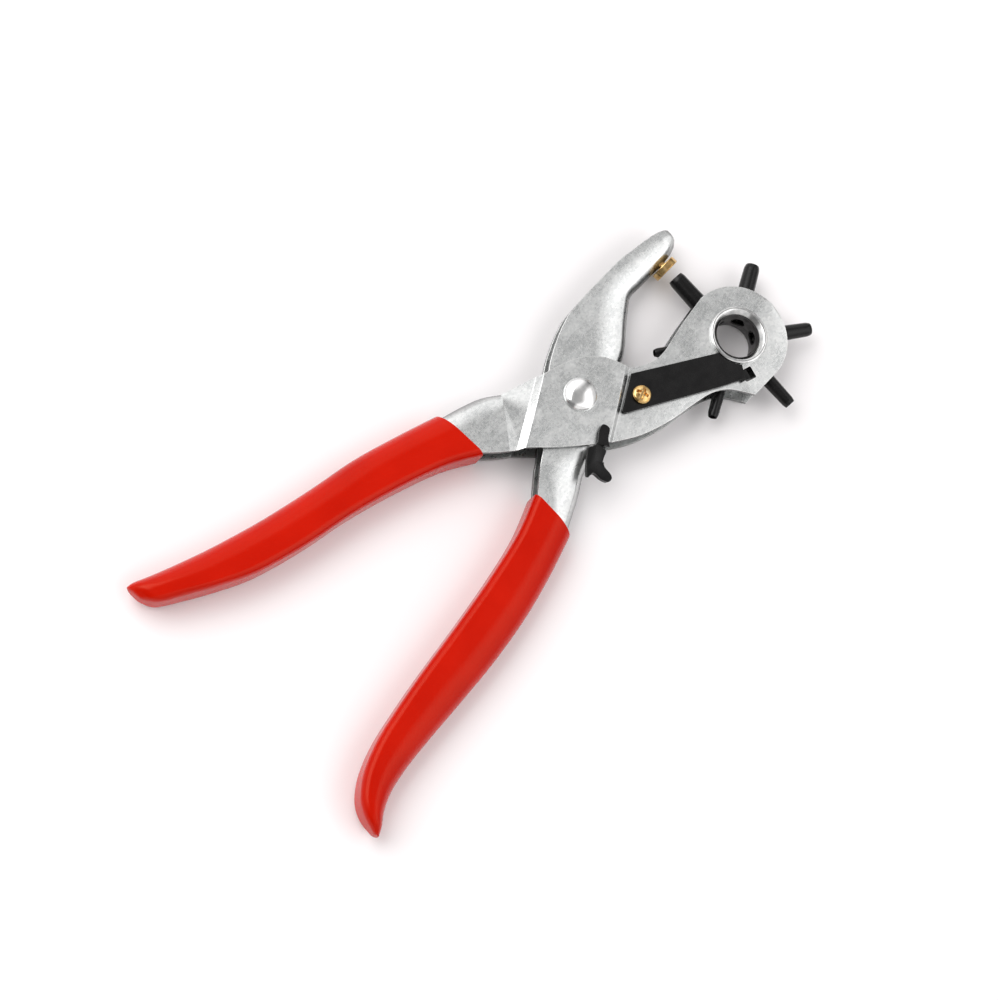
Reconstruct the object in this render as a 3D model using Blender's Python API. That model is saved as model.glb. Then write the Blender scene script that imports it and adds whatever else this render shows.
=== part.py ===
"""Rotary hole punch: two folded steel levers on one rivet, a wheel of six punch tubes and a brass anvil.

Frame: +X from the handles to the jaws, +Z up out of the plane the tool lies on, origin on the pivot axis
where the rivet's flat rear end meets that plane. Lengths below are millimetres, made metres in the meshes.
"""

import math

import bmesh
import bpy
from mathutils import Matrix, Vector

MM = 0.001

# Heights, all counted from the tool's middle plane.
MID_Z = 6.2
SHEET = 1.6
PLAY = 0.3
RUNNING = 0.08
PANEL_Z = 5.8
CHEEK_Z = 5.0
PUNCH_CHANNEL_Z = 4.2
ANVIL_CHANNEL_Z = 3.9

# Grips.
COAT_SIDE = 1.0
GRIP_Z = MID_Z

# Pivot.
PIVOT_SHANK_R = 3.2
PIVOT_HEAD_R = 5.3
PIVOT_HEAD_RISE = 2.3
PIVOT_FOOT_R = 4.7

# Punch wheel.
WHEEL_CENTRE = Vector((52.4, -21.8, 0.0))
HEAD_R = 16.3
DRUM_R = 13.4
DRUM_HALF = 3.1
SLEEVE_R = 7.8
SLEEVE_BORE_R = 6.6
SLEEVE_RIM_R = 9.3
SLUG_WAY_R = 2.2
TUBE_TIP_R = 26.4
TUBE_STUD_R = 2.3
FIRST_TUBE_DEG = 86.4
TUBE_STEP_DEG = -60.0
HOLE_SIZES = (4.5, 4.0, 3.5, 3.0, 2.5, 2.0)
TUBE_WALL = 0.45
HUB_STEPS = 40
NOTCH_DEPTH = 0.9
NOTCH_RING_R = 12.5

# Anvil pad on the jaw.
ANVIL_CENTRE = Vector((53.8, 9.9, 0.0))
ANVIL_R = 4.3
ANVIL_THICK = 2.3
ANVIL_STUD_R = 1.4

# Index spring, its screw and the post between the cheeks.
POST_CENTRE = Vector((14.2, -13.2, 0.0))
POST_R = 3.6
SCREW_R = 1.5
SCREW_HEAD_R = 3.0
LEAF_DEG = -29.0
LEAF_THICK = 0.8
LEAF_Z = CHEEK_Z + PLAY
WINDOW_DEG = -17.0
WINDOW_SIDE = 3.9
TAB_WIDTH = 2.9

# Lock latch.
LATCH_PIN = Vector((-11.9, -14.6, 0.0))
LATCH_PIN_R = 0.6
LATCH_PIN_DEPTH = 2.4
LATCH_LOW_Z = ANVIL_CHANNEL_Z + PLAY
LATCH_OVER_Z = PANEL_Z + PLAY
LATCH_TOP_Z = 7.0
LATCH_SLOPE_DEG = 20.0
LATCH_RIDGE = Vector((-7.6, -13.4))
LATCH_RIDGE_DEG = -146.1

# Opening spring.
WIRE_R = 0.5
COIL_R = 4.9
COIL_PITCH = 1.15
COIL_FULL_TURNS = 2
ANVIL_LEG_END = Vector((-22.95, -16.9, 0.0))
PUNCH_LEG_END = Vector((-27.25, 18.4, 0.0))

# Each grip as pairs of points: (palm edge, inner edge), from the mouth to the tip.
PUNCH_GRIP = (
    ((-36.5, 26.2), (-36.0, 7.9)),
    ((-49.7, 30.1), (-46.5, 13.4)),
    ((-65.0, 34.1), (-61.0, 18.3)),
    ((-81.5, 36.9), (-78.0, 22.7)),
    ((-99.1, 40.5), (-95.5, 25.9)),
    ((-115.6, 44.9), (-111.5, 30.1)),
    ((-127.0, 48.6), (-122.5, 34.9)),
    ((-134.5, 51.3), (-131.8, 39.8)),
    ((-139.2, 53.2), (-138.7, 43.8)),
    ((-141.3, 53.6), (-141.2, 47.3)),
)
ANVIL_GRIP = (
    ((-33.8, -27.6), (-33.2, -11.2)),
    ((-47.0, -31.4), (-46.0, -15.7)),
    ((-62.0, -34.8), (-62.6, -19.0)),
    ((-78.0, -37.0), (-80.5, -21.6)),
    ((-95.0, -38.2), (-97.8, -23.8)),
    ((-110.0, -39.0), (-111.5, -25.9)),
    ((-121.0, -39.9), (-122.9, -28.2)),
    ((-129.5, -41.4), (-132.2, -31.6)),
    ((-135.5, -43.8), (-138.5, -36.0)),
    ((-139.5, -46.4), (-141.5, -40.6)),
    ((-141.7, -47.5), (-142.6, -44.9)),
)
# How far a hollow's outline runs past an open edge, and how much its cross-lines lean there.
OPEN_CLEAR = 4.0
OPEN_SKEW = 0.45
OPEN = -OPEN_CLEAR
# Half the flat that is left in the middle of a folded edge.
WEB_FLAT = 0.3

# How much thinner a grip gets over its last cross-lines, and how many cross-lines the metal reaches in.
GRIP_TIP_SCALES = (0.95, 0.8, 0.45)
METAL_IN_GRIP = 7
GRIP_INNER_ROUND = 2.6
FOLD_IN_GRIP = 7.0

UP = (0, 0, 1)
# How far a cutter reaches when it passes right through.
THROUGH = 8.0


def clear_scene():
    for obj in list(bpy.data.objects):
        bpy.data.objects.remove(obj, do_unlink=True)


def material(name, colour, roughness, metallic):
    made = bpy.data.materials.get(name) or bpy.data.materials.new(name)
    made.use_nodes = True
    shader = made.node_tree.nodes["Principled BSDF"]
    shader.inputs["Base Color"].default_value = (*colour, 1.0)
    shader.inputs["Roughness"].default_value = roughness
    shader.inputs["Metallic"].default_value = metallic
    made.diffuse_color = (*colour, 1.0)
    return made


def plated_steel():
    return material("plated_steel", (0.62, 0.64, 0.65), 0.36, 1.0)


def bright_steel():
    return material("bright_steel", (0.74, 0.75, 0.77), 0.2, 1.0)


def black_steel():
    return material("black_steel", (0.02, 0.02, 0.022), 0.42, 0.6)


def brass():
    return material("brass", (0.80, 0.56, 0.24), 0.25, 1.0)


def red_vinyl():
    return material("red_vinyl", (0.72, 0.03, 0.01), 0.28, 0.0)


# ---------------------------------------------------------------- meshes


def to_world(point):
    """Millimetres about the middle plane to metres about the resting plane."""
    return Vector((point[0], point[1], point[2] + MID_Z)) * MM


def mesh_object(name, points, faces, finish, smooth_deg=None):
    mesh = bpy.data.meshes.new(name)
    mesh.from_pydata([to_world(p) for p in points], [], faces)
    work = bmesh.new()
    work.from_mesh(mesh)
    bmesh.ops.triangulate(work, faces=[face for face in work.faces if len(face.verts) == 4])
    bmesh.ops.recalc_face_normals(work, faces=work.faces)
    work.to_mesh(mesh)
    work.free()
    if smooth_deg is not None:
        mesh.shade_smooth()
        mesh.set_sharp_from_angle(angle=math.radians(smooth_deg))
    obj = bpy.data.objects.new(name, mesh)
    bpy.context.scene.collection.objects.link(obj)
    if finish:
        mesh.materials.append(finish)
    return obj


def put_origin(obj, axis_point):
    """Moves the object's origin onto its joint's axis and leaves its shape in place."""
    place = to_world(axis_point)
    obj.data.transform(Matrix.Translation(-place))
    obj.location = place
    return obj


def rings_object(name, rings, finish, smooth_deg=35):
    """A closed body through rings of points, capped at both ends."""
    count = len(rings[0])
    points = [point for ring in rings for point in ring]
    faces = []
    for i in range(len(rings) - 1):
        for j in range(count):
            k = (j + 1) % count
            faces.append((i * count + j, i * count + k, (i + 1) * count + k, (i + 1) * count + j))
    faces.append(tuple(range(count)))
    faces.append(tuple((len(rings) - 1) * count + j for j in range(count)))
    return mesh_object(name, points, faces, finish, smooth_deg)


def turned_object(name, profile, centre, axis, finish, steps=28):
    """A profile of (radius, height) points turned about an axis. It is closed, or ends on the axis."""
    turn = Vector((0, 0, 1)).rotation_difference(Vector(axis)).to_matrix()
    closed_bore = profile[0][0] > 0 and profile[-1][0] > 0
    points, rows = [], []
    for radius, height in profile:
        row = []
        for step in range(steps if radius > 0 else 1):
            angle = 2 * math.pi * step / steps
            local = Vector((radius * math.cos(angle), radius * math.sin(angle), height))
            row.append(len(points))
            points.append(Vector(centre) + turn @ local)
        rows.append(row)
    faces = []
    pairs = list(zip(rows, rows[1:]))
    if closed_bore:
        pairs.append((rows[-1], rows[0]))
    for low, high in pairs:
        for step in range(steps):
            after = (step + 1) % steps
            if len(low) == 1:
                faces.append((low[0], high[after], high[step]))
            elif len(high) == 1:
                faces.append((low[step], low[after], high[0]))
            else:
                faces.append((low[step], low[after], high[after], high[step]))
    return mesh_object(name, points, faces, finish, 30)


def rod_object(name, radius, low, high, centre, axis=UP, steps=28):
    """A plain round cutter between two heights along its axis."""
    profile = ((0, low), (radius, low), (radius, high), (0, high))
    return turned_object(name, profile, centre, axis, None, steps)


def plate_object(name, outline, low, high, finish=None):
    """An outline in the plane, raised from one height to another."""
    count = len(outline)
    points = [(x, y, low) for x, y in outline] + [(x, y, high) for x, y in outline]
    faces = [tuple(range(count)), tuple(range(count, 2 * count))]
    for j in range(count):
        k = (j + 1) % count
        faces.append((j, k, count + k, count + j))
    return mesh_object(name, points, faces, finish)


def boolean(target, others, operation):
    """One exact boolean between the target and all the others."""
    group = bpy.data.collections.new(target.name + "_" + operation.lower())
    for other in others:
        group.objects.link(other)
        other.hide_render = True
        other.display_type = "WIRE"
    change = target.modifiers.new(operation.title(), "BOOLEAN")
    change.operation = operation
    change.solver = "EXACT"
    change.operand_type = "COLLECTION"
    change.collection = group


def cut(target, *cutters):
    boolean(target, cutters, "DIFFERENCE")


def join(target, *others):
    boolean(target, others, "UNION")


# ---------------------------------------------------------------- outlines


def arc(centre, radius, start_deg, end_deg, steps):
    found = []
    for step in range(steps + 1):
        angle = math.radians(start_deg + (end_deg - start_deg) * step / steps)
        found.append((centre[0] + radius * math.cos(angle), centre[1] + radius * math.sin(angle)))
    return found


def turned_points(points, centre, degrees):
    turn = Matrix.Rotation(math.radians(degrees), 2)
    return [tuple(turn @ Vector(p[:2]) + Vector(centre[:2])) for p in points]


def rounded_box(length, width, radius, steps=4):
    """A rectangle with round corners, about its own middle."""
    corners = ((1, 1, 0), (-1, 1, 90), (-1, -1, 180), (1, -1, 270))
    outline = []
    for side_x, side_y, start in corners:
        middle = (side_x * (length / 2 - radius), side_y * (width / 2 - radius))
        outline += arc(middle, radius, start, start + 90, steps)
    return outline


def curve_through(values, steps):
    """Points of a smooth curve through each value in turn, values being tuples of numbers."""
    found = []
    last = len(values) - 1
    for i in range(last):
        before, here = values[max(i - 1, 0)], values[i]
        there, after = values[i + 1], values[min(i + 2, last)]
        for step in range(steps):
            t = step / steps
            weights = (
                0.5 * (-t + 2 * t**2 - t**3),
                0.5 * (2 - 5 * t**2 + 3 * t**3),
                0.5 * (t + 4 * t**2 - 3 * t**3),
                0.5 * (-(t**2) + t**3),
            )
            four = (before, here, there, after)
            found.append(tuple(sum(w * v[n] for w, v in zip(weights, four)) for n in range(len(here))))
    found.append(tuple(values[last]))
    return found


# ---------------------------------------------------------------- levers and grips


def station(closed_edge, open_edge, half, roll, web):
    """One cross-line of a lever: its folded edge, its open edge, half thickness, fold width, web wall."""
    return (*closed_edge, *open_edge, half, roll, web)


def inset(line, closed_by, open_by, thinner):
    """The same cross-line with its two ends moved inwards and its thickness reduced on each face."""
    closed_edge, open_edge = Vector(line[0:2]), Vector(line[2:4])
    along = (open_edge - closed_edge).normalized()
    closed_edge += along * closed_by
    open_edge -= along * open_by
    roll = max(line[5] - thinner, 0.05)
    return (*closed_edge, *open_edge, line[4] - thinner, roll, line[6])


def channel_ring(line, fold_steps=3):
    """A lever's section: square at the open edge, bent twice or rolled right over at the folded edge."""
    closed_edge, open_edge = Vector(line[0:2]), Vector(line[2:4])
    along = (open_edge - closed_edge).normalized()
    half, roll = line[4], line[5]
    bend = min(roll, half - WEB_FLAT)
    ring = [(*open_edge, half)]
    for side in (1, -1):
        for step in range(fold_steps + 1):
            angle = math.pi / 2 * step / fold_steps
            if side > 0:
                angle = math.pi / 2 - angle
            across = closed_edge + along * roll * (1 - math.cos(angle))
            ring.append((*across, side * (half - bend + bend * math.sin(angle))))
    ring.append((*open_edge, -half))
    return ring


def grip_ring(line, inner_round, steps=4):
    """A grip's section: a half ellipse on the palm side, two rounded corners on the inner side."""
    closed_edge, open_edge = Vector(line[0:2]), Vector(line[2:4])
    along = (open_edge - closed_edge).normalized()
    half, roll = line[4], line[5]
    ring = []
    for step in range(2 * steps + 1):
        angle = math.pi / 2 - math.pi * step / (2 * steps)
        across = closed_edge + along * roll * (1 - math.cos(angle))
        ring.append((*across, half * math.sin(angle)))
    for step in range(2 * steps + 1):
        angle = -math.pi / 2 + math.pi * step / (2 * steps)
        drop = half - inner_round
        across = open_edge - along * inner_round * (1 - math.cos(angle))
        side = -1 if angle < 0 else 1
        height = side * drop + inner_round * math.sin(angle) if step != steps else 0.0
        ring.append((*across, height))
    return ring


def grip_lines(pairs, half):
    """A grip's cross-lines, thinner and narrower in the fold towards the tip."""
    lines = []
    for number, (palm, inner) in enumerate(pairs):
        from_tip = len(pairs) - 1 - number
        scale = GRIP_TIP_SCALES[-1 - from_tip] if from_tip < len(GRIP_TIP_SCALES) else 1.0
        width = (Vector(palm) - Vector(inner)).length
        lines.append(station(palm, inner, half * scale, min(8.0, 0.55 * width), SHEET))
    return lines


def metal_in_grip(pairs, half):
    """The lever's cross-lines that lie inside a grip, from the deepest to the mouth."""
    lines = []
    for line in reversed(grip_lines(pairs, half)[:METAL_IN_GRIP]):
        moved = inset(line, COAT_SIDE + PLAY, COAT_SIDE + PLAY, 0)
        lines.append((*moved[:5], FOLD_IN_GRIP, SHEET))
    return lines


def build_grip(name, pairs, half_metal):
    outer = curve_through(grip_lines(pairs, GRIP_Z), 2)
    rings = [grip_ring(line, min(GRIP_INNER_ROUND, 0.45 * line[4])) for line in outer]
    grip = rings_object(name, rings, red_vinyl(), 50)
    core = [inset(line, -PLAY, -PLAY, -PLAY) for line in metal_in_grip(pairs, half_metal)]
    mouth, before = core[-1], core[-2]
    step = (Vector(mouth[0:4]) - Vector(before[0:4])) * 0.3
    core.append((*(Vector(mouth[0:4]) + step), *mouth[4:]))
    rings = [channel_ring(line) for line in core]
    cut(grip, rings_object(name + "_cavity", rings, None))
    return grip


def cavity_lines(lines, past_end):
    """The hollow of a folded lever: a sheet's thickness inside its web and faces, clear of its open edges."""
    found = []
    for line in lines:
        line = inset(line, line[6], -OPEN_CLEAR, SHEET)
        skew_closed = OPEN_SKEW if line[6] < 0 else 0.0
        found.append((line[0] + skew_closed, line[1], line[2] + OPEN_SKEW, *line[3:]))
    last, first, second = found[-1], found[0], found[1]
    found.append((last[0] + past_end, last[1], last[2] + past_end, *last[3:]))
    step = (Vector(first[0:4]) - Vector(second[0:4])) * 0.3
    found.insert(0, (*(Vector(first[0:4]) + step), *first[4:]))
    return found


def pivot_hole(name):
    return rod_object(name, PIVOT_SHANK_R + RUNNING, -THROUGH, THROUGH, (0, 0, 0))


def punch_lever_lines():
    handle = metal_in_grip(PUNCH_GRIP, PUNCH_CHANNEL_Z)
    neck = [
        handle[-1],
        station((-28.0, 22.7), (-32.3, 5.8), PUNCH_CHANNEL_Z, 6.6, SHEET),
        station((-21.5, 20.4), (-30.0, 4.0), PUNCH_CHANNEL_Z, 6.8, SHEET),
        station((-16.5, 17.2), (-28.8, 3.1), PUNCH_CHANNEL_Z, 4.4, SHEET),
    ]
    before_joggle = station((-5.4, 13.3), (-27.2, 2.0), PUNCH_CHANNEL_Z, 0.2, OPEN)
    panel = [
        station((-3.1, 12.2), (-24.8, 0.4), PANEL_Z, 0.2, OPEN),
        station((5.8, 9.5), (-18.1, -5.6), PANEL_Z, 0.2, OPEN),
        station((11.7, 6.1), (-11.6, -10.9), PANEL_Z, 0.2, OPEN),
        station((15.4, 2.0), (-8.1, -13.5), PANEL_Z, 0.2, OPEN),
        station((17.9, -3.5), (-4.3, -16.1), PANEL_Z, 0.2, OPEN),
    ]
    cheek = [
        station((18.7, -4.9), (-3.2, -16.9), CHEEK_Z, 0.2, OPEN),
        station((22.5, -7.3), (5.0, -21.5), CHEEK_Z, 0.2, OPEN),
        station((27.0, -8.8), (15.5, -24.9), CHEEK_Z, 0.2, OPEN),
        station((31.5, -8.9), (26.0, -26.7), CHEEK_Z, 0.2, OPEN),
        station((37.0, -7.9), (32.5, -28.3), CHEEK_Z, 0.2, OPEN),
        station((42.5, -6.9), (37.6, -31.6), CHEEK_Z, 0.2, OPEN),
        station((47.0, -6.3), (42.2, -38.1), CHEEK_Z, 0.2, OPEN),
    ]
    circle = []
    for angle in (88, 77, 66, 54, 42, 30, 18, 6):
        high, low = arc(WHEEL_CENTRE, HEAD_R, angle, -angle, 1)
        circle.append(station(high, low, CHEEK_Z, 0.2, OPEN))
    return (
        handle[:-1]
        + curve_through(neck, 2)
        + [before_joggle]
        + curve_through(panel, 3)
        + curve_through(cheek, 2)
        + circle
    )


def build_punch_lever():
    lines = punch_lever_lines()
    lever = rings_object("punch_lever", [channel_ring(line) for line in lines], plated_steel(), 30)
    inner = [channel_ring(line) for line in cavity_lines(lines, 6.0)]
    hollow = rings_object("punch_lever_hollow", inner, None)
    shank_hole = pivot_hole("punch_lever_pivot_hole")
    sleeve_r = SLEEVE_R + RUNNING
    sleeve_hole = rod_object("sleeve_hole", sleeve_r, -THROUGH, THROUGH, WHEEL_CENTRE, steps=HUB_STEPS)
    screw_hole = rod_object("screw_hole", SCREW_R + PLAY, 0, THROUGH, POST_CENTRE)
    post_hole = rod_object("post_hole", SCREW_R + 2 * PLAY, -THROUGH, 0, POST_CENTRE)
    square = turned_points(rounded_box(WINDOW_SIDE, WINDOW_SIDE, 0.4, 2), window_centre(), WINDOW_DEG)
    window = plate_object("window_hole", square, DRUM_HALF, THROUGH)
    rear_seat = turned_object("rear_seat", countersink(RUNNING), (0, 0, 0), UP, None)
    cut(lever, hollow, shank_hole, sleeve_hole, screw_hole, post_hole, window, rear_seat)
    return lever


def anvil_lever_lines():
    half = ANVIL_CHANNEL_Z
    handle = metal_in_grip(ANVIL_GRIP, half)
    body = [
        handle[-1],
        station((-23.4, -21.6), (-25.6, -6.7), half, 6.0, SHEET),
        station((-16.6, -17.9), (-20.7, -3.5), half, 4.5, SHEET),
        station((-9.4, -15.2), (-12.8, 2.9), half, 3.4, SHEET),
        station((0.0, -9.4), (-6.0, 8.2), half, 2.6, SHEET),
        station((12.0, -4.9), (2.0, 13.6), half, 6.5, SHEET),
        station((22.3, -0.9), (10.5, 17.5), half, 9.0, SHEET),
        station((29.5, 4.3), (17.5, 19.7), half, 9.0, SHEET),
    ]
    jaw = [
        body[-1],
        station((34.5, 7.9), (24.5, 20.2), half, 8.0, SHEET),
        station((38.4, 10.1), (33.0, 20.4), half, 5.5, SHEET),
        station((43.0, 10.2), (42.0, 20.5), half, 3.6, SHEET),
        station((48.5, 10.2), (48.5, 19.9), half, 2.4, SHEET),
        station((54.0, 10.2), (54.3, 19.2), half, 2.4, SHEET),
        station((58.3, 10.6), (58.9, 18.3), half, 2.6, SHEET),
    ]
    tip = [
        station((60.9, 11.4), (61.2, 17.4), 3.7, 2.4, SHEET),
        station((62.2, 12.6), (62.4, 16.6), 3.1, 2.0, SHEET),
        station((62.9, 13.9), (63.0, 15.6), 2.0, 0.9, SHEET),
    ]
    return handle[:-1] + curve_through(body, 2)[:-1] + curve_through(jaw, 2), tip


def build_anvil_lever():
    lines, tip = anvil_lever_lines()
    rings = [channel_ring(line) for line in lines + tip]
    lever = rings_object("anvil_lever", rings, plated_steel(), 30)
    inner = [channel_ring(line) for line in cavity_lines(lines, 0.6)]
    hollow = rings_object("anvil_lever_hollow", inner, None)
    shank_hole = pivot_hole("anvil_lever_pivot_hole")
    stud_hole = rod_object("stud_hole", ANVIL_STUD_R + RUNNING, -2, 4, ANVIL_CENTRE, (0, 1, 0))
    pin_foot = ANVIL_CHANNEL_Z - LATCH_PIN_DEPTH - PLAY
    pin_hole = rod_object("pin_hole", LATCH_PIN_R + RUNNING, pin_foot, THROUGH, LATCH_PIN, steps=20)
    cut(lever, hollow, shank_hole, stud_hole, pin_hole)
    return lever


# ---------------------------------------------------------------- pivot, post and springs


def countersink(clearance):
    """The seat of the rivet's rear end: a flat disc that narrows into the panel."""
    wide = PIVOT_FOOT_R + clearance
    narrow = PIVOT_SHANK_R + clearance
    seat, bottom = -PANEL_Z + 0.1, -PANEL_Z + 1.2
    return ((0, -THROUGH), (wide, -THROUGH), (wide, seat), (narrow, bottom), (0, bottom))


def build_pivot_rivet():
    """A domed head in front, a shank through four sheets, and a flat end spread in a countersink."""
    head_foot = PANEL_Z + RUNNING
    edge = 0.25
    profile = [(0, -MID_Z), (PIVOT_FOOT_R - 0.4, -MID_Z), (PIVOT_FOOT_R, -MID_Z + 0.3)]
    profile += [(PIVOT_FOOT_R, -PANEL_Z + 0.1), (PIVOT_SHANK_R, -PANEL_Z + 1.2)]
    profile += [(PIVOT_SHANK_R, head_foot), (PIVOT_HEAD_R, head_foot), (PIVOT_HEAD_R, head_foot + edge)]
    for degrees in (18, 36, 54, 72):
        angle = math.radians(degrees)
        rise = edge + (PIVOT_HEAD_RISE - edge) * math.sin(angle)
        profile.append((PIVOT_HEAD_R * math.cos(angle), head_foot + rise))
    profile.append((0, head_foot + PIVOT_HEAD_RISE))
    return turned_object("pivot_rivet", profile, (0, 0, 0), UP, bright_steel())


def tangent_angle(end, leaving):
    """Where a straight leg to a point leaves the coil, or meets it, on a coil wound anticlockwise."""
    away = math.degrees(math.atan2(end.y, end.x))
    spread = math.degrees(math.acos(COIL_R / end.to_2d().length))
    return away - spread if leaving else away + spread


def spring_path():
    """A torsion coil round the rivet, with one straight leg in each handle channel."""
    start = tangent_angle(ANVIL_LEG_END, False)
    sweep = (tangent_angle(PUNCH_LEG_END, True) - start) % 360 + 360 * COIL_FULL_TURNS
    rise = COIL_PITCH * sweep / 360
    steps = 12 * (COIL_FULL_TURNS + 1)
    path = [Vector((*ANVIL_LEG_END.to_2d(), -rise / 2))]
    for step in range(steps + 1):
        share = step / steps
        angle = math.radians(start + share * sweep)
        path.append(Vector((COIL_R * math.cos(angle), COIL_R * math.sin(angle), rise * (share - 0.5))))
    path.append(Vector((*PUNCH_LEG_END.to_2d(), rise / 2)))
    return path


def wire_object(name, path, radius, finish, sides=7):
    """A round wire along a path of points."""
    rings = []
    for number, point in enumerate(path):
        before, after = path[max(number - 1, 0)], path[min(number + 1, len(path) - 1)]
        along = (after - before).normalized()
        side = along.cross(Vector((0, 0, 1))).normalized()
        up = side.cross(along)
        ring = []
        for corner in range(sides):
            angle = 2 * math.pi * corner / sides
            ring.append(point + radius * (math.cos(angle) * side + math.sin(angle) * up))
        rings.append(ring)
    return rings_object(name, rings, finish, 60)


def build_spacer_post():
    """A post between the cheeks, peened over behind the rear one and tapped for the spring's screw."""
    inner = CHEEK_Z - SHEET - 0.15
    rear = -CHEEK_Z - 0.15
    neck_r = SCREW_R + 2 * PLAY - RUNNING
    bore_r = SCREW_R + RUNNING
    bore_foot = -1.5
    profile = [(0, rear - 0.75), (2.8, rear - 0.75), (3.2, rear - 0.35), (3.2, rear), (neck_r, rear)]
    profile += [(neck_r, -inner), (POST_R, -inner), (POST_R, inner)]
    profile += [(bore_r, inner), (bore_r, bore_foot), (0, bore_foot)]
    return turned_object("spacer_post", profile, POST_CENTRE, UP, bright_steel())


def build_index_screw():
    """A brass pan-head screw with a cross recess."""
    foot = LEAF_Z + LEAF_THICK + 0.15
    profile = [(0, -1.2), (SCREW_R, -1.2), (SCREW_R, foot), (SCREW_HEAD_R, foot), (SCREW_HEAD_R, foot + 0.5)]
    profile += [(0.82 * SCREW_HEAD_R, foot + 1.1), (0.45 * SCREW_HEAD_R, foot + 1.35), (0, foot + 1.45)]
    screw = turned_object("index_spring_screw", profile, POST_CENTRE, UP, brass())
    slots = []
    for number, degrees in enumerate((20, 110)):
        slot = turned_points(rounded_box(3.6, 0.8, 0.2, 1), POST_CENTRE, degrees)
        bottom = foot + 0.7 + 0.02 * number
        slots.append(plate_object("cross_slot_%d" % (number + 1), slot, bottom, THROUGH + number))
    cut(screw, *slots)
    return screw


def index_tab():
    """The leaf's end, bent down through the window as far as the wheel's face."""
    top, under = LEAF_Z + LEAF_THICK - 0.05, LEAF_Z + 0.05
    foot = DRUM_HALF + PLAY
    bend = [(-3.6, top), (-1.6, top), (-0.9, top - 0.3), (-0.4, top - 1.0), (-0.3, top - 1.8), (-0.3, foot)]
    bend += [(-1.1, foot), (-1.1, under - 0.8), (-1.3, under - 0.3), (-1.8, under), (-3.6, under)]
    rings = []
    for side in (-TAB_WIDTH / 2, TAB_WIDTH / 2):
        places = turned_points([(along, side) for along, _ in bend], window_centre(), WINDOW_DEG)
        rings.append([(*place, height) for place, (_, height) in zip(places, bend)])
    return rings_object("index_tab", rings, None)


def build_index_spring():
    """A leaf that springs against the front cheek and drops a bent tab through the square window."""
    rim = SLEEVE_RIM_R + PLAY
    leaf = [(-7.6, -3.2), (-7.2, -4.1), (-6.6, -4.3), (0.0, -4.1), (26.4, -3.5), (34.1, -2.8), (34.6, -2.3)]
    leaf += [(35.2, 2.2), (32.0, 7.6), (27.6, 7.0), (0.0, 7.2), (-0.9, 7.2)]
    outline = turned_points(leaf, POST_CENTRE, LEAF_DEG)
    spring = plate_object("index_spring", outline, LEAF_Z, LEAF_Z + LEAF_THICK, black_steel())
    join(spring, index_tab())
    flange = rod_object("leaf_relief", rim, LEAF_Z - 2, THROUGH, WHEEL_CENTRE, steps=HUB_STEPS)
    hole = rod_object("leaf_hole", SCREW_R + PLAY, LEAF_Z - 2, THROUGH, POST_CENTRE)
    cut(spring, flange, hole)
    return put_origin(spring, POST_CENTRE + Vector((0, 0, LEAF_Z + LEAF_THICK / 2)))


# ---------------------------------------------------------------- punch wheel


def tube_angle(number):
    return FIRST_TUBE_DEG + TUBE_STEP_DEG * number


def tube_direction(number):
    angle = math.radians(tube_angle(number))
    return Vector((math.cos(angle), math.sin(angle), 0))


def window_centre():
    """The window lies over the notch between the fourth and fifth tubes."""
    return WHEEL_CENTRE + NOTCH_RING_R * tube_direction(3.5)


def build_punch_wheel():
    """The drum that carries the tubes, with one notch in its front face between each pair."""
    bore = SLEEVE_R + RUNNING
    edge = 0.5
    profile = ((bore, -DRUM_HALF), (DRUM_R - edge, -DRUM_HALF), (DRUM_R, -DRUM_HALF + edge))
    profile += ((DRUM_R, DRUM_HALF - edge), (DRUM_R - edge, DRUM_HALF), (bore, DRUM_HALF))
    drum = turned_object("punch_wheel", profile, WHEEL_CENTRE, UP, black_steel(), HUB_STEPS)
    cutters = []
    for number in range(len(HOLE_SIZES)):
        way = tube_direction(number)
        name = "stud_bore_%d" % (number + 1)
        cutters.append(rod_object(name, TUBE_STUD_R + RUNNING, 5, DRUM_R + 2, WHEEL_CENTRE, way, 20))
        place = WHEEL_CENTRE + NOTCH_RING_R * tube_direction(number + 0.5)
        notch = turned_points(rounded_box(3.4, 3.2, 0.4, 2), place, tube_angle(number + 0.5))
        name = "notch_%d" % (number + 1)
        cutters.append(plate_object(name, notch, DRUM_HALF - NOTCH_DEPTH, DRUM_HALF + 2))
    cut(drum, *cutters)
    return put_origin(drum, WHEEL_CENTRE)


def build_wheel_sleeve():
    """The hollow hub rolled over both cheeks, with a way in for the slugs behind each tube."""
    cheek = CHEEK_Z + RUNNING
    front = [(SLEEVE_BORE_R, 3.6), (6.9, 4.8), (7.7, 5.7), (8.3, MID_Z), (8.9, MID_Z), (SLEEVE_RIM_R, 5.85)]
    front += [(SLEEVE_RIM_R, cheek + 0.1), (SLEEVE_RIM_R - 0.1, cheek), (SLEEVE_R, cheek)]
    back = [(radius, -height) for radius, height in reversed(front)]
    sleeve = turned_object("wheel_sleeve", front + back, WHEEL_CENTRE, UP, bright_steel(), HUB_STEPS)
    ways = []
    for number, size in enumerate(HOLE_SIZES):
        name = "slug_way_%d" % (number + 1)
        ways.append(rod_object(name, SLUG_WAY_R, 4, 10, WHEEL_CENTRE, tube_direction(number), 12))
    cut(sleeve, *ways)
    return put_origin(sleeve, WHEEL_CENTRE)


def slug_radius(size):
    """The bore through a tube's stud, which is held under what the stud's wall allows."""
    return min(size / 2, TUBE_STUD_R - 0.5)


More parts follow.
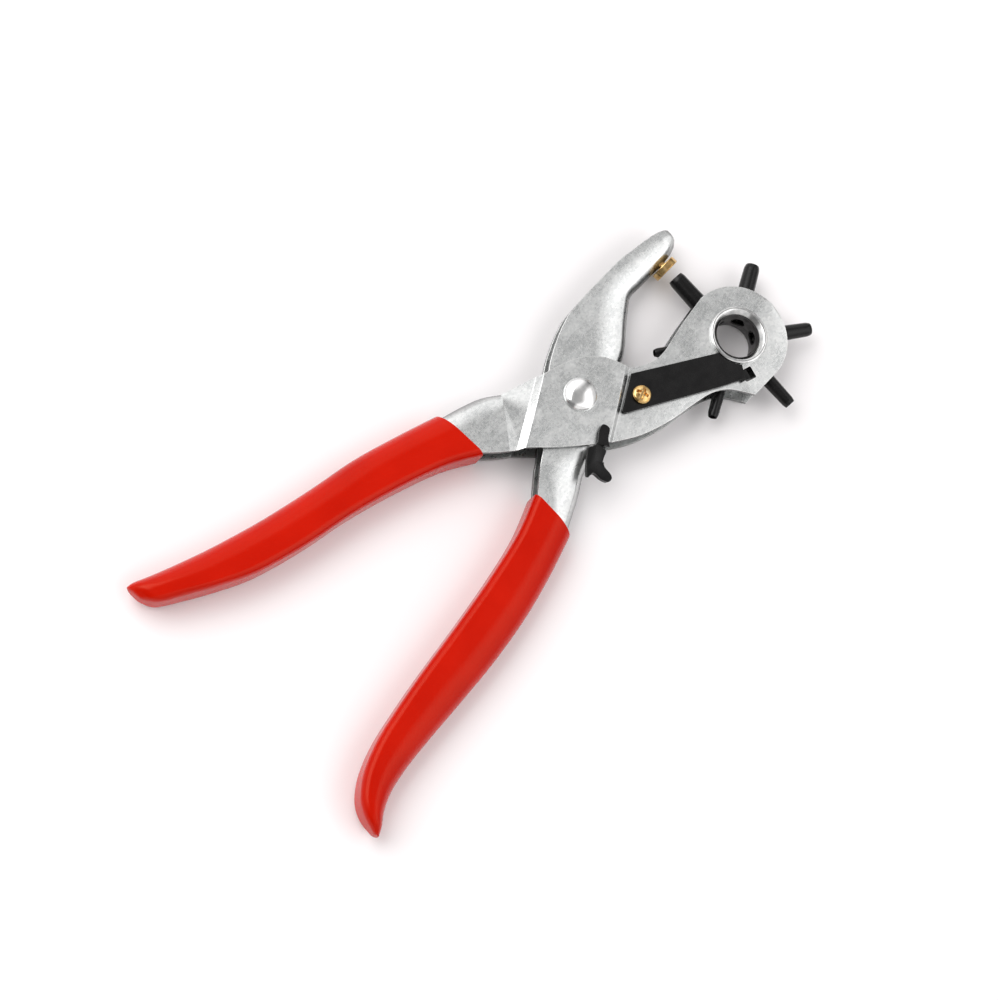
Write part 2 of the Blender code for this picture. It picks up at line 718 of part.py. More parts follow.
def build_punch_tube(number):
    """One punch: a stud pressed in the drum, a shoulder, a slight taper and a sharpened end."""
    size = HOLE_SIZES[number]
    tip_r = size / 2 + TUBE_WALL
    base_r = min(tip_r + 0.25, DRUM_HALF)
    shoulder = DRUM_R + 0.15
    stud_end = SLEEVE_R + 0.15
    bore = size / 2
    throat = slug_radius(size)
    step = shoulder - 0.4 if base_r < TUBE_STUD_R else shoulder
    profile = [(throat, stud_end), (TUBE_STUD_R, stud_end), (TUBE_STUD_R, step)]
    profile += [(base_r, shoulder), (tip_r, TUBE_TIP_R - 1.2), (bore + 0.12, TUBE_TIP_R), (bore, TUBE_TIP_R)]
    if throat < bore:
        profile += [(bore, shoulder + 1.5), (throat, shoulder + 0.8)]
    name = "punch_tube_%d" % (number + 1)
    tube = turned_object(name, profile, WHEEL_CENTRE, tube_direction(number), black_steel(), 20)
    return put_origin(tube, WHEEL_CENTRE)


# ---------------------------------------------------------------- anvil and latch


def build_anvil_pad():
    """A brass disc with a stud headed over inside the jaw."""
    inside = PLAY + SHEET + PLAY
    edge = 0.35
    profile = [(0, -ANVIL_THICK), (ANVIL_R - edge, -ANVIL_THICK), (ANVIL_R, -ANVIL_THICK + edge)]
    profile += [(ANVIL_R, -0.25), (ANVIL_R - 0.25, 0), (ANVIL_STUD_R, 0), (ANVIL_STUD_R, inside)]
    profile += [(1.9, inside), (1.9, inside + 0.3), (1.4, inside + 0.9), (0, inside + 1.0)]
    return turned_object("anvil_pad", profile, ANVIL_CENTRE, (0, 1, 0), brass(), 32)


def latch_slope():
    """The space over the latch's sloping side, as a prism along the ridge of the slope."""
    width = 8.0
    drop = width * math.tan(math.radians(LATCH_SLOPE_DEG))
    rings = []
    for reach in (0.8, 6.2):
        foot, far = turned_points([(reach, 0.0), (reach, width)], LATCH_RIDGE, LATCH_RIDGE_DEG)
        ring = [(*foot, LATCH_TOP_Z), (*far, LATCH_TOP_Z - drop)]
        rings.append(ring + [(*far, LATCH_TOP_Z + 1), (*foot, LATCH_TOP_Z + 1)])
    return rings_object("latch_slope", rings, None)


def build_lock_latch():
    """A pressed latch: ear on its pin, finger over the panel's corner, thumb tab outside the lever."""
    plate = [(-2.8, -11.0), (-1.8, -11.6), (-1.7, -13.5), (-4.2, -15.1), (-5.3, -16.3), (-6.8, -17.8)]
    plate += [(-10.2, -18.8), (-11.9, -20.2), (-12.3, -23.2), (-13.2, -24.4), (-14.7, -24.2), (-15.6, -22.2)]
    plate += [(-15.8, -19.3), (-18.4, -18.8), (-15.9, -16.1), (-13.2, -14.0), (-11.0, -12.8), (-9.3, -13.7)]
    plate += [(-7.5, -13.5), (-5.0, -11.7)]
    latch = plate_object("lock_latch", plate, LATCH_OVER_Z, LATCH_TOP_Z, black_steel())
    ear = [(-9.2, -15.0), (-7.6, -16.4), (-7.4, -17.5), (-10.0, -18.5), (-11.7, -19.8), (-12.4, -23.3)]
    ear += [(-13.2, -24.1), (-14.4, -23.9), (-15.3, -21.8), (-15.6, -19.3), (-17.7, -18.5), (-15.6, -16.4)]
    ear += [(-13.1, -14.4), (-11.2, -13.4), (-10.0, -13.9)]
    join(latch, plate_object("latch_ear", ear, LATCH_LOW_Z, LATCH_OVER_Z + 0.4))
    hole = rod_object("latch_hole", LATCH_PIN_R + RUNNING, 0, LATCH_TOP_Z - 0.5, LATCH_PIN, steps=20)
    cut(latch, latch_slope(), hole)
    return put_origin(latch, LATCH_PIN)


def build_latch_pin():
    """The latch's pivot: a short pin in the lever's folded edge that ends inside the latch."""
    foot = ANVIL_CHANNEL_Z - LATCH_PIN_DEPTH
    over = LATCH_TOP_Z - 0.7
    profile = ((0, foot), (LATCH_PIN_R, foot), (LATCH_PIN_R, over), (0, over))
    return turned_object("latch_pin", profile, LATCH_PIN, UP, black_steel(), 20)


def main():
    clear_scene()
    build_punch_lever()
    build_anvil_lever()
    build_grip("punch_lever_grip", PUNCH_GRIP, PUNCH_CHANNEL_Z)
    build_grip("anvil_lever_grip", ANVIL_GRIP, ANVIL_CHANNEL_Z)
    build_pivot_rivet()
    wire_object("opening_spring", spring_path(), WIRE_R, bright_steel())
    build_spacer_post()
    build_index_screw()
    build_index_spring()
    build_punch_wheel()
    build_wheel_sleeve()
    for number in range(len(HOLE_SIZES)):
        build_punch_tube(number)
    build_anvil_pad()
    build_lock_latch()
    build_latch_pin()


main()
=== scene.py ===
"""Looks of the rotary hole punch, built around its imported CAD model.

Lengths are millimetres about the tool's middle plane, made metres above the floor by to_world.
"""

import math

import bmesh
import bpy
from mathutils import Matrix, Vector


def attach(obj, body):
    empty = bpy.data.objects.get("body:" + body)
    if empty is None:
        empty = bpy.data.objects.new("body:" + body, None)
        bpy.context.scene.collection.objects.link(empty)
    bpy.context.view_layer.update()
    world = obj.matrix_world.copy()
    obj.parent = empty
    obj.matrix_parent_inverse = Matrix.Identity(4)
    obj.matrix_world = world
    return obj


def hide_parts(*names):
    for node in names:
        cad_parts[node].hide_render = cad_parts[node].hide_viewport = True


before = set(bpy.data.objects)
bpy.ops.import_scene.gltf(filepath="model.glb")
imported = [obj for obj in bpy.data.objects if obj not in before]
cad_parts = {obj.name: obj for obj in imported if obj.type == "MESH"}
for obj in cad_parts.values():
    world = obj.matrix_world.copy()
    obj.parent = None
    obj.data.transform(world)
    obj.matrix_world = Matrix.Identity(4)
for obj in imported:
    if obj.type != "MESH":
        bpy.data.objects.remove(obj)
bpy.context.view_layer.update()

MM = 0.001

# Heights about the middle plane, as in the CAD.
MID_Z = 6.2
SHEET = 1.6
PLAY = 0.3
RUNNING = 0.08
PANEL_Z = 5.8
CHEEK_Z = 5.0
PUNCH_CHANNEL_Z = 4.2
ANVIL_CHANNEL_Z = 3.9

UP = (0, 0, 1)
# How far a cutter reaches when it passes right through.
THROUGH = 8.0

# Folded sheets: the flat in the middle of a fold, the mark of an open pair of sheets, how much an open
# sheet falls at its edges, and the shoulder and corner of a fold that is wider outside than inside.
WEB_FLAT = 0.3
OPEN = -4.0
OPEN_ROLL = 3.0
CROWN = 0.34
SHOULDER_FALL = 0.13
CORNER_WIDTH = 2.2
CORNER_POWER = 1.5
NOSE_LINES = 4

# Pivot.
PIVOT_SHANK_R = 3.2
PIVOT_HEAD_R = 5.3
PIVOT_HEAD_RISE = 2.3
PIVOT_FOOT_R = 5.0
FOOT_DISC_Z = -PANEL_Z + 0.1
FOOT_CONE_Z = -PANEL_Z + 1.2

# Punch wheel.
WHEEL_CENTRE = Vector((52.4, -21.8, 0.0))
HEAD_R = 16.3
DRUM_R = 13.4
DRUM_HALF = 3.1
SLEEVE_R = 7.8
SLEEVE_BORE_R = 6.6
SLEEVE_RIM_R = 9.3
SLUG_WAY_R = 2.2
TUBE_TIP_R = 26.4
TUBE_STUD_R = 2.3
FIRST_TUBE_DEG = 86.4
TUBE_STEP_DEG = -60.0
HOLE_SIZES = (4.5, 4.0, 3.5, 3.0, 2.5, 2.0)
TUBE_WALL = 0.45
NOTCH_DEPTH = 0.9
NOTCH_RING_R = 12.5

# Anvil pad on the jaw.
ANVIL_CENTRE = Vector((53.8, 9.9, 0.0))
ANVIL_R = 4.3
ANVIL_THICK = 2.3
ANVIL_STUD_R = 1.4

# Index spring, its screw and the post between the cheeks.
POST_CENTRE = Vector((14.2, -13.2, 0.0))
POST_R = 3.6
SCREW_R = 1.5
SCREW_HEAD_R = 3.0
LEAF_DEG = -29.0
LEAF_THICK = 0.8
LEAF_Z = CHEEK_Z + PLAY
WINDOW_DEG = -17.0
WINDOW_SIDE = 3.9
TAB_WIDTH = 2.9

# Lock latch.
LATCH_PIN = Vector((-11.9, -14.6, 0.0))
LATCH_PIN_R = 0.6
LATCH_PIN_DEPTH = 2.4
LATCH_LOW_Z = ANVIL_CHANNEL_Z + PLAY
LATCH_OVER_Z = PANEL_Z + PLAY
LATCH_TOP_Z = 7.0
LATCH_SLOPE_DEG = 20.0
LATCH_RIDGE = Vector((-7.6, -13.4))

# Opening spring.
WIRE_R = 0.5
COIL_R = 4.9
COIL_PITCH = 1.15
COIL_FULL_TURNS = 2
ANVIL_LEG_END = Vector((-22.95, -16.9, 0.0))
PUNCH_LEG_END = Vector((-27.25, 18.4, 0.0))

# Each grip as pairs of points: (palm edge, inner edge), from the mouth to the tip.
PUNCH_GRIP = (
    ((-36.5, 26.2), (-36.0, 7.9)),
    ((-49.7, 30.1), (-46.5, 13.4)),
    ((-65.0, 34.1), (-61.0, 18.3)),
    ((-81.5, 36.9), (-78.0, 22.7)),
    ((-99.1, 40.5), (-95.5, 25.9)),
    ((-115.6, 44.9), (-111.5, 30.1)),
    ((-127.0, 48.6), (-122.5, 34.9)),
    ((-134.5, 51.3), (-131.8, 39.8)),
    ((-139.2, 53.2), (-138.7, 43.8)),
    ((-141.3, 53.6), (-141.2, 47.3)),
)
ANVIL_GRIP = (
    ((-33.8, -27.6), (-33.2, -11.2)),
    ((-47.0, -31.4), (-46.0, -15.7)),
    ((-62.0, -34.8), (-62.6, -19.0)),
    ((-78.0, -37.0), (-80.5, -21.6)),
    ((-95.0, -38.2), (-97.8, -23.8)),
    ((-110.0, -39.0), (-111.5, -25.9)),
    ((-121.0, -39.9), (-122.9, -28.2)),
    ((-129.5, -41.4), (-132.2, -31.6)),
    ((-135.5, -43.8), (-138.5, -36.0)),
    ((-139.5, -46.4), (-141.5, -40.6)),
    ((-141.7, -47.5), (-142.6, -44.9)),
)
COAT_SIDE = 1.0
GRIP_Z = MID_Z
GRIP_ROLL = 8.0
GRIP_INNER_ROUND = 2.6
FOLD_IN_GRIP = 7.0
# How much thinner a grip gets over its last cross-lines, and how many cross-lines the metal reaches in.
GRIP_TIP_SCALES = (0.95, 0.8, 0.45)
METAL_IN_GRIP = 7
# The rounded end past the last cross-line, as (size, distance ahead).
GRIP_END = ((0.9, 0.35), (0.72, 0.65), (0.45, 0.85))

# Fineness of the finished meshes.
TURN_STEPS = 96
FOLD_STEPS = 10
SHOULDER_STEPS = 5
LINE_STEPS = 6
WIRE_SIDES = 14
EDGE_ROUND = 0.22


# ---------------------------------------------------------------- material nodes


def start_material(name, metallic):
    made = bpy.data.materials.new(name)
    made.use_nodes = True
    shader = made.node_tree.nodes["Principled BSDF"]
    shader.inputs["Metallic"].default_value = metallic
    return made, made.node_tree, shader


def add_node(tree, kind, values=None, **settings):
    made = tree.nodes.new(kind)
    for key, value in settings.items():
        setattr(made, key, value)
    for socket, value in (values or {}).items():
        if isinstance(value, bpy.types.NodeSocket):
            tree.links.new(value, made.inputs[socket])
        else:
            made.inputs[socket].default_value = value
    return made


def place_of(tree, stretch=(1, 1, 1)):
    """The surface point in metres, stretched along each axis."""
    coords = add_node(tree, "ShaderNodeTexCoord")
    moved = add_node(tree, "ShaderNodeMapping", {"Vector": coords.outputs["Object"], "Scale": stretch})
    return moved.outputs["Vector"]


def noise_of(tree, size_mm, detail=4.0, roughness=0.55, stretch=(1, 1, 1), distortion=0.0):
    """Soft noise with features about that many millimetres across."""
    values = {
        "Vector": place_of(tree, stretch),
        "Scale": 1.0 / (size_mm * MM),
        "Detail": detail,
        "Roughness": roughness,
        "Distortion": distortion,
    }
    return add_node(tree, "ShaderNodeTexNoise", values).outputs["Fac"]


def spread(tree, value, low, high, to_low=0.0, to_high=1.0):
    """Maps a span of values onto another, held at both ends."""
    values = {"Value": value, "From Min": low, "From Max": high, "To Min": to_low, "To Max": to_high}
    return add_node(tree, "ShaderNodeMapRange", values).outputs["Result"]


def arithmetic(tree, operation, first, second, clamp=False):
    values = {0: first, 1: second}
    return add_node(tree, "ShaderNodeMath", values, operation=operation, use_clamp=clamp).outputs[0]


def blend_colours(tree, amount, first, second):
    made = add_node(tree, "ShaderNodeMix", data_type="RGBA")
    sockets = {"Factor_Float": amount, "A_Color": first, "B_Color": second}
    for socket in made.inputs:
        if socket.identifier in sockets:
            value = sockets[socket.identifier]
            if isinstance(value, bpy.types.NodeSocket):
                tree.links.new(value, socket)
            else:
                socket.default_value = value if socket.identifier == "Factor_Float" else (*value, 1.0)
    return next(out for out in made.outputs if out.identifier == "Result_Color")


def edge_mask(tree, radius_mm, low=0.02, high=0.2):
    """High along outside and inside edges, where plating and oxide rub off."""
    rounded = add_node(tree, "ShaderNodeBevel", {"Radius": radius_mm * MM}, samples=6)
    flat = add_node(tree, "ShaderNodeNewGeometry")
    dot = add_node(
        tree,
        "ShaderNodeVectorMath",
        {0: rounded.outputs["Normal"], 1: flat.outputs["Normal"]},
        operation="DOT_PRODUCT",
    )
    away = arithmetic(tree, "SUBTRACT", 1.0, dot.outputs["Value"])
    return spread(tree, away, low, high)


def bumped(tree, shader, height, distance_mm, strength=1.0):
    values = {"Height": height, "Distance": distance_mm * MM, "Strength": strength}
    made = add_node(tree, "ShaderNodeBump", values)
    tree.links.new(made.outputs["Normal"], shader.inputs["Normal"])


# ---------------------------------------------------------------- materials


def plated_steel():
    """Zinc plate: fine crystals, cloudy areas, drawn scratches and bright rubbed edges, with painted shade
    darkening its steep side walls.
    """
    made, tree, shader = start_material("zinc_plate", 1.0)
    crystals = add_node(
        tree,
        "ShaderNodeTexVoronoi",
        {"Vector": place_of(tree, (1, 1, 0.6)), "Scale": 1.0 / (0.8 * MM), "Randomness": 1.0},
        feature="F1",
    )
    patch = add_node(tree, "ShaderNodeSeparateColor", {0: crystals.outputs["Color"]}).outputs[0]
    cloud = noise_of(tree, 7.0, 5.0, 0.6, distortion=0.4)
    slow = noise_of(tree, 16.0, 2.0, 0.5)
    grain = noise_of(tree, 0.6, 6.0, 0.7)
    scratches = noise_of(tree, 2.2, 3.0, 0.6, (0.12, 2.6, 1.0))
    tone = arithmetic(tree, "MULTIPLY", patch, 0.22)
    tone = arithmetic(tree, "ADD", tone, arithmetic(tree, "MULTIPLY", cloud, 0.6))
    tone = arithmetic(tree, "ADD", tone, arithmetic(tree, "MULTIPLY", grain, 0.5))
    tone = spread(tree, tone, 0.35, 0.95)
    base = blend_colours(tree, tone, (0.50, 0.52, 0.52), (0.85, 0.86, 0.85))
    worn = edge_mask(tree, 0.6)
    colour = blend_colours(tree, worn, base, (0.97, 0.97, 0.955))
    # Painted shade: steep side walls, whose normals point little up or down, are blended to dark grey.
    normal = add_node(tree, "ShaderNodeNewGeometry").outputs["Normal"]
    up = add_node(tree, "ShaderNodeSeparateXYZ", {0: normal}).outputs["Z"]
    painted_wall_shade = spread(tree, arithmetic(tree, "ABSOLUTE", up, 0.0), 0.4, 0.8, 1.0, 0.0)
    colour = blend_colours(tree, painted_wall_shade, colour, (0.20, 0.205, 0.205))
    tree.links.new(colour, shader.inputs["Base Color"])
    rough = spread(tree, cloud, 0.3, 0.75, 0.22, 0.33)
    rough = arithmetic(tree, "ADD", rough, spread(tree, grain, 0.3, 0.7, -0.03, 0.05))
    rough = arithmetic(tree, "ADD", rough, spread(tree, scratches, 0.45, 0.7, 0.0, 0.05))
    tree.links.new(rough, shader.inputs["Roughness"])
    height = arithmetic(tree, "ADD", grain, arithmetic(tree, "MULTIPLY", patch, 0.2))
    height = arithmetic(tree, "ADD", height, arithmetic(tree, "MULTIPLY", scratches, 0.3))
    height = arithmetic(tree, "ADD", height, arithmetic(tree, "MULTIPLY", slow, 6.0))
    bumped(tree, shader, height, 0.03, 0.6)
    return made


def bright_steel():
    """Polished plated steel with faint turning marks and light smudges."""
    made, tree, shader = start_material("bright_plate", 1.0)
    smudge = noise_of(tree, 2.4, 4.0, 0.55)
    fine = noise_of(tree, 0.35, 4.0, 0.6)
    colour = blend_colours(tree, spread(tree, smudge, 0.3, 0.7), (0.78, 0.79, 0.79), (0.94, 0.94, 0.93))
    tree.links.new(colour, shader.inputs["Base Color"])
    tree.links.new(spread(tree, smudge, 0.3, 0.75, 0.06, 0.17), shader.inputs["Roughness"])
    bumped(tree, shader, fine, 0.012, 0.4)
    return made


def hub_steel():
    """The sleeve: bright where it is rolled over, with painted shade darkening its bore, which is also
    rougher.
    """
    made, tree, shader = start_material("hub_plate", 1.0)
    smudge = noise_of(tree, 2.0, 4.0, 0.55)
    fine = noise_of(tree, 0.35, 4.0, 0.6)
    bright = blend_colours(tree, spread(tree, smudge, 0.3, 0.7), (0.50, 0.51, 0.51), (0.78, 0.78, 0.77))
    # Painted shade: the bore's colour is made far darker than the rolled rim's.
    painted_bore_shade = blend_colours(tree, spread(tree, smudge, 0.3, 0.7), (0.10, 0.098, 0.098), (0.19, 0.185, 0.185))
    flat = add_node(tree, "ShaderNodeVectorMath", {0: place_of(tree), 1: (1, 1, 0)}, operation="MULTIPLY")
    ends = {0: flat.outputs["Vector"], 1: (WHEEL_CENTRE.x * MM, WHEEL_CENTRE.y * MM, 0)}
    reach = add_node(tree, "ShaderNodeVectorMath", ends, operation="DISTANCE")
    # Mask of the painted bore shade: full inside the bore, none on the rolled rim.
    inside = spread(tree, reach.outputs["Value"], 7.15 * MM, 6.75 * MM)
    tree.links.new(blend_colours(tree, inside, bright, painted_bore_shade), shader.inputs["Base Color"])
    tree.links.new(spread(tree, inside, 0.0, 1.0, 0.16, 0.42), shader.inputs["Roughness"])
    bumped(tree, shader, fine, 0.012, 0.4)
    return made


def black_steel():
    """Black oxide: brown-black, a little oily, rubbed grey on its edges."""
    made, tree, shader = start_material("black_oxide", 0.0)
    cloud = noise_of(tree, 4.0, 4.0, 0.6)
    grain = noise_of(tree, 0.35, 5.0, 0.7)
    clouded = spread(tree, cloud, 0.3, 0.7)
    base = blend_colours(tree, clouded, (0.0025, 0.0025, 0.0027), (0.006, 0.0058, 0.0058))
    rubbed = edge_mask(tree, 0.25, 0.05, 0.3)
    worn = arithmetic(tree, "MULTIPLY", rubbed, spread(tree, grain, 0.4, 0.6), True)
    colour = blend_colours(tree, worn, base, (0.03, 0.029, 0.028))
    tree.links.new(colour, shader.inputs["Base Color"])
    rough = spread(tree, cloud, 0.3, 0.7, 0.20, 0.30)
    rough = arithmetic(tree, "ADD", rough, spread(tree, grain, 0.3, 0.7, -0.03, 0.05))
    tree.links.new(rough, shader.inputs["Roughness"])
    shader.inputs["Specular IOR Level"].default_value = 0.26
    bumped(tree, shader, grain, 0.02, 0.25)
    return made


def brass():
    """Turned brass, slightly tarnished away from its edges."""
    made, tree, shader = start_material("turned_brass", 1.0)
    cloud = noise_of(tree, 1.6, 4.0, 0.6)
    fine = noise_of(tree, 0.25, 4.0, 0.6)
    base = blend_colours(tree, spread(tree, cloud, 0.3, 0.7), (0.46, 0.24, 0.07), (0.90, 0.66, 0.30))
    colour = blend_colours(tree, edge_mask(tree, 0.3), base, (0.98, 0.84, 0.55))
    tree.links.new(colour, shader.inputs["Base Color"])
    tree.links.new(spread(tree, cloud, 0.3, 0.7, 0.10, 0.22), shader.inputs["Roughness"])
    bumped(tree, shader, fine, 0.015, 0.6)
    return made


def red_vinyl():
    """Dipped vinyl: glossy red skin with slow waves, tiny pits and scuffed duller patches."""
    made, tree, shader = start_material("red_vinyl", 0.0)
    slow = noise_of(tree, 14.0, 3.0, 0.5)
    skin = noise_of(tree, 1.1, 4.0, 0.6)
    pits = noise_of(tree, 0.35, 2.0, 0.5)
    colour = blend_colours(tree, spread(tree, slow, 0.3, 0.7), (0.47, 0.0045, 0.0002), (0.53, 0.006, 0.0004))
    colour = blend_colours(tree, spread(tree, skin, 0.55, 0.8, 0.0, 0.25), colour, (0.58, 0.009, 0.001))
    tree.links.new(colour, shader.inputs["Base Color"])
    rough = spread(tree, slow, 0.3, 0.7, 0.16, 0.22)
    rough = arithmetic(tree, "ADD", rough, spread(tree, skin, 0.4, 0.8, 0.0, 0.06))
    tree.links.new(rough, shader.inputs["Roughness"])
    shader.inputs["Specular IOR Level"].default_value = 0.26
    shader.inputs["Specular Tint"].default_value = (1.0, 0.55, 0.35, 1.0)
    height = arithmetic(tree, "ADD", arithmetic(tree, "MULTIPLY", slow, 3.0), skin)
    height = arithmetic(tree, "ADD", height, spread(tree, pits, 0.2, 0.35, -0.5, 0.0))
    bumped(tree, shader, height, 0.05, 0.5)
    return made


FINISHES = {
    "plated_steel": plated_steel(),
    "bright_steel": bright_steel(),
    "black_steel": black_steel(),
    "brass": brass(),
    "red_vinyl": red_vinyl(),
    "hub_steel": hub_steel(),
}


# ---------------------------------------------------------------- meshes


def to_world(point):
    return Vector((point[0], point[1], point[2] + MID_Z)) * MM


def mesh_object(name, points, faces):
    mesh = bpy.data.meshes.new(name)
    mesh.from_pydata([to_world(p) for p in points], [], faces)
    work = bmesh.new()
    work.from_mesh(mesh)
    bmesh.ops.recalc_face_normals(work, faces=work.faces)
    work.to_mesh(mesh)
    work.free()
    obj = bpy.data.objects.new(name, mesh)
    bpy.context.scene.collection.objects.link(obj)
    return obj


def settle(obj, sharp_deg=30):
    """Makes the modifiers' result the object's own mesh and smooths all but its sharp edges."""
    bpy.context.view_layer.update()
    graph = bpy.context.evaluated_depsgraph_get()
    mesh = bpy.data.meshes.new_from_object(obj.evaluated_get(graph))
    obj.modifiers.clear()
    obj.data = mesh
    mesh.shade_smooth()
    mesh.set_sharp_from_angle(angle=math.radians(sharp_deg))
    return obj


def round_edges(obj, width=EDGE_ROUND, segments=3, over_deg=35):
    bevel = obj.modifiers.new("Edges", "BEVEL")
    bevel.width = width * MM
    bevel.segments = segments
    bevel.limit_method = "ANGLE"
    bevel.angle_limit = math.radians(over_deg)
    return settle(obj)


def boolean(target, others, operation):
    """One exact boolean with all the others, which are then removed."""
    group = bpy.data.collections.new(target.name + "_cutters")
    for other in others:
        group.objects.link(other)
    change = target.modifiers.new(operation.title(), "BOOLEAN")
    change.operation = operation
    change.solver = "EXACT"
    change.operand_type = "COLLECTION"
    change.collection = group
    settle(target)
    for other in others:
        bpy.data.objects.remove(other, do_unlink=True)
    bpy.data.collections.remove(group)
    return target


def finish_piece(obj, body, node, slot, finish=None):
    """Gives a finished mesh its material, its even shading and its place on a body."""
    obj.data.materials.clear()
    obj.data.materials.append(FINISHES[finish or slot])
    normals = obj.modifiers.new("Normals", "WEIGHTED_NORMAL")
    normals.keep_sharp = True
    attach(obj, body)
    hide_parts(node)
    return obj


def rings_object(name, rings):
    """A closed body through rings of points, capped at both ends."""
    count = len(rings[0])
    points = [point for ring in rings for point in ring]
    faces = [tuple(range(count)), tuple((len(rings) - 1) * count + j for j in range(count))]
    for i in range(len(rings) - 1):
        for j in range(count):
            k = (j + 1) % count
            faces.append((i * count + j, i * count + k, (i + 1) * count + k, (i + 1) * count + j))
    return mesh_object(name, points, faces)


def turned_object(name, profile, centre, axis, steps=TURN_STEPS):
    """A profile of (radius, height) points turned about an axis. It is closed, or ends on the axis."""
    turn = Vector(UP).rotation_difference(Vector(axis)).to_matrix()
    points, rows = [], []
    for radius, height in profile:
        row = []
        for step in range(steps if radius > 0 else 1):
            angle = 2 * math.pi * step / steps
            local = Vector((radius * math.cos(angle), radius * math.sin(angle), height))
            row.append(len(points))
            points.append(Vector(centre) + turn @ local)
        rows.append(row)
    pairs = list(zip(rows, rows[1:]))
    if profile[0][0] > 0 and profile[-1][0] > 0:
        pairs.append((rows[-1], rows[0]))
    faces = []
    for low, high in pairs:
        for step in range(steps):
            after = (step + 1) % steps
            if len(low) == 1:
                faces.append((low[0], high[after], high[step]))
            elif len(high) == 1:
                faces.append((low[step], low[after], high[0]))
            else:
                faces.append((low[step], low[after], high[after], high[step]))
    return mesh_object(name, points, faces)


def corner_curve(before, here, after, radius, steps):
    """A short curve of about that radius in place of one corner."""
    here = Vector(here)
    back, on = Vector(before) - here, Vector(after) - here
    start = here + back.normalized() * min(radius, 0.45 * back.length)
    end = here + on.normalized() * min(radius, 0.45 * on.length)
    found = []
    for step in range(steps + 1):
        t = step / steps
        found.append(tuple(start * (1 - t) ** 2 + here * 2 * t * (1 - t) + end * t**2))
    return found


def rounded_profile(corners, radius, steps=4):
    """A profile with each inner corner rounded."""
    found = [corners[0]]
    for before, here, after in zip(corners, corners[1:], corners[2:]):
        found += corner_curve(before, here, after, radius, steps)
    found.append(corners[-1])
    return [(max(r, 0.0), h) for r, h in found]


def rod_object(name, radius, low, high, centre, axis=UP, steps=TURN_STEPS):
    profile = [(0, low), (radius, low), (radius, high), (0, high)]
    return turned_object(name, profile, centre, axis, steps)


def plate_object(name, outline, low, high):
    count = len(outline)
    points = [(x, y, low) for x, y in outline] + [(x, y, high) for x, y in outline]
    faces = [tuple(range(count)), tuple(range(count, 2 * count))]
    for j in range(count):
        k = (j + 1) % count
        faces.append((j, k, count + k, count + j))
    return mesh_object(name, points, faces)


def arc(centre, radius, start_deg, end_deg, steps):
    found = []
    for step in range(steps + 1):
        angle = math.radians(start_deg + (end_deg - start_deg) * step / steps)
        found.append((centre[0] + radius * math.cos(angle), centre[1] + radius * math.sin(angle)))
    return found


def turned_points(points, centre, degrees):
    turn = Matrix.Rotation(math.radians(degrees), 2)
    return [tuple(turn @ Vector(p[:2]) + Vector(centre[:2])) for p in points]


def rounded_box(length, width, radius, steps=5):
    corners = ((1, 1, 0), (-1, 1, 90), (-1, -1, 180), (1, -1, 270))
    outline = []
    for side_x, side_y, start in corners:
        middle = (side_x * (length / 2 - radius), side_y * (width / 2 - radius))
        outline += arc(middle, radius, start, start + 90, steps)
    return outline


def curve_weights(t):
    return (
        0.5 * (-t + 2 * t**2 - t**3),
        0.5 * (2 - 5 * t**2 + 3 * t**3),
        0.5 * (t + 4 * t**2 - 3 * t**3),
        0.5 * (-(t**2) + t**3),
    )


def curve_through(values, steps):
    """Points of a smooth curve through each value in turn, values being tuples of numbers."""
    found = []
    last = len(values) - 1
    for i in range(last):
        four = (values[max(i - 1, 0)], values[i], values[i + 1], values[min(i + 2, last)])
        for step in range(steps):
            weights = curve_weights(step / steps)
            found.append(tuple(sum(w * v[n] for w, v in zip(weights, four)) for n in range(len(four[0]))))
    found.append(tuple(values[last]))
    return found


def closed_curve(points, steps):
    """A smooth closed outline through each point."""
    count = len(points)
    found = []
    for i in range(count):
        four = [points[(i + n) % count] for n in (-1, 0, 1, 2)]
        for step in range(steps):
            weights = curve_weights(step / steps)
            found.append(tuple(sum(w * v[n] for w, v in zip(weights, four)) for n in range(2)))
    return found


def rounded_outline(corners, radius, steps=5):
    """A closed outline with each corner rounded by that radius, or by its own."""
    found = []
    for i, corner in enumerate(corners):
        after = corners[(i + 1) % len(corners)]
        size = corner[2] if len(corner) > 2 else radius
        found += corner_curve(corners[i - 1][:2], corner[:2], after[:2], size, steps)
    return found


# ---------------------------------------------------------------- folded sheets


def station(closed_edge, open_edge, half, roll, lining):
    """A cross-line: folded edge, open edge, half thickness, the fold's width outside and inside the sheet."""
    return (*closed_edge, *open_edge, half, roll, lining)


def inset(line, closed_by, open_by, thinner):
    closed_edge, open_edge = Vector(line[0:2]), Vector(line[2:4])
    along = (open_edge - closed_edge).normalized()
    closed_edge += along * closed_by
    open_edge -= along * open_by
    return (*closed_edge, *open_edge, line[4] - thinner, max(line[5] - thinner, 0.3), line[6])


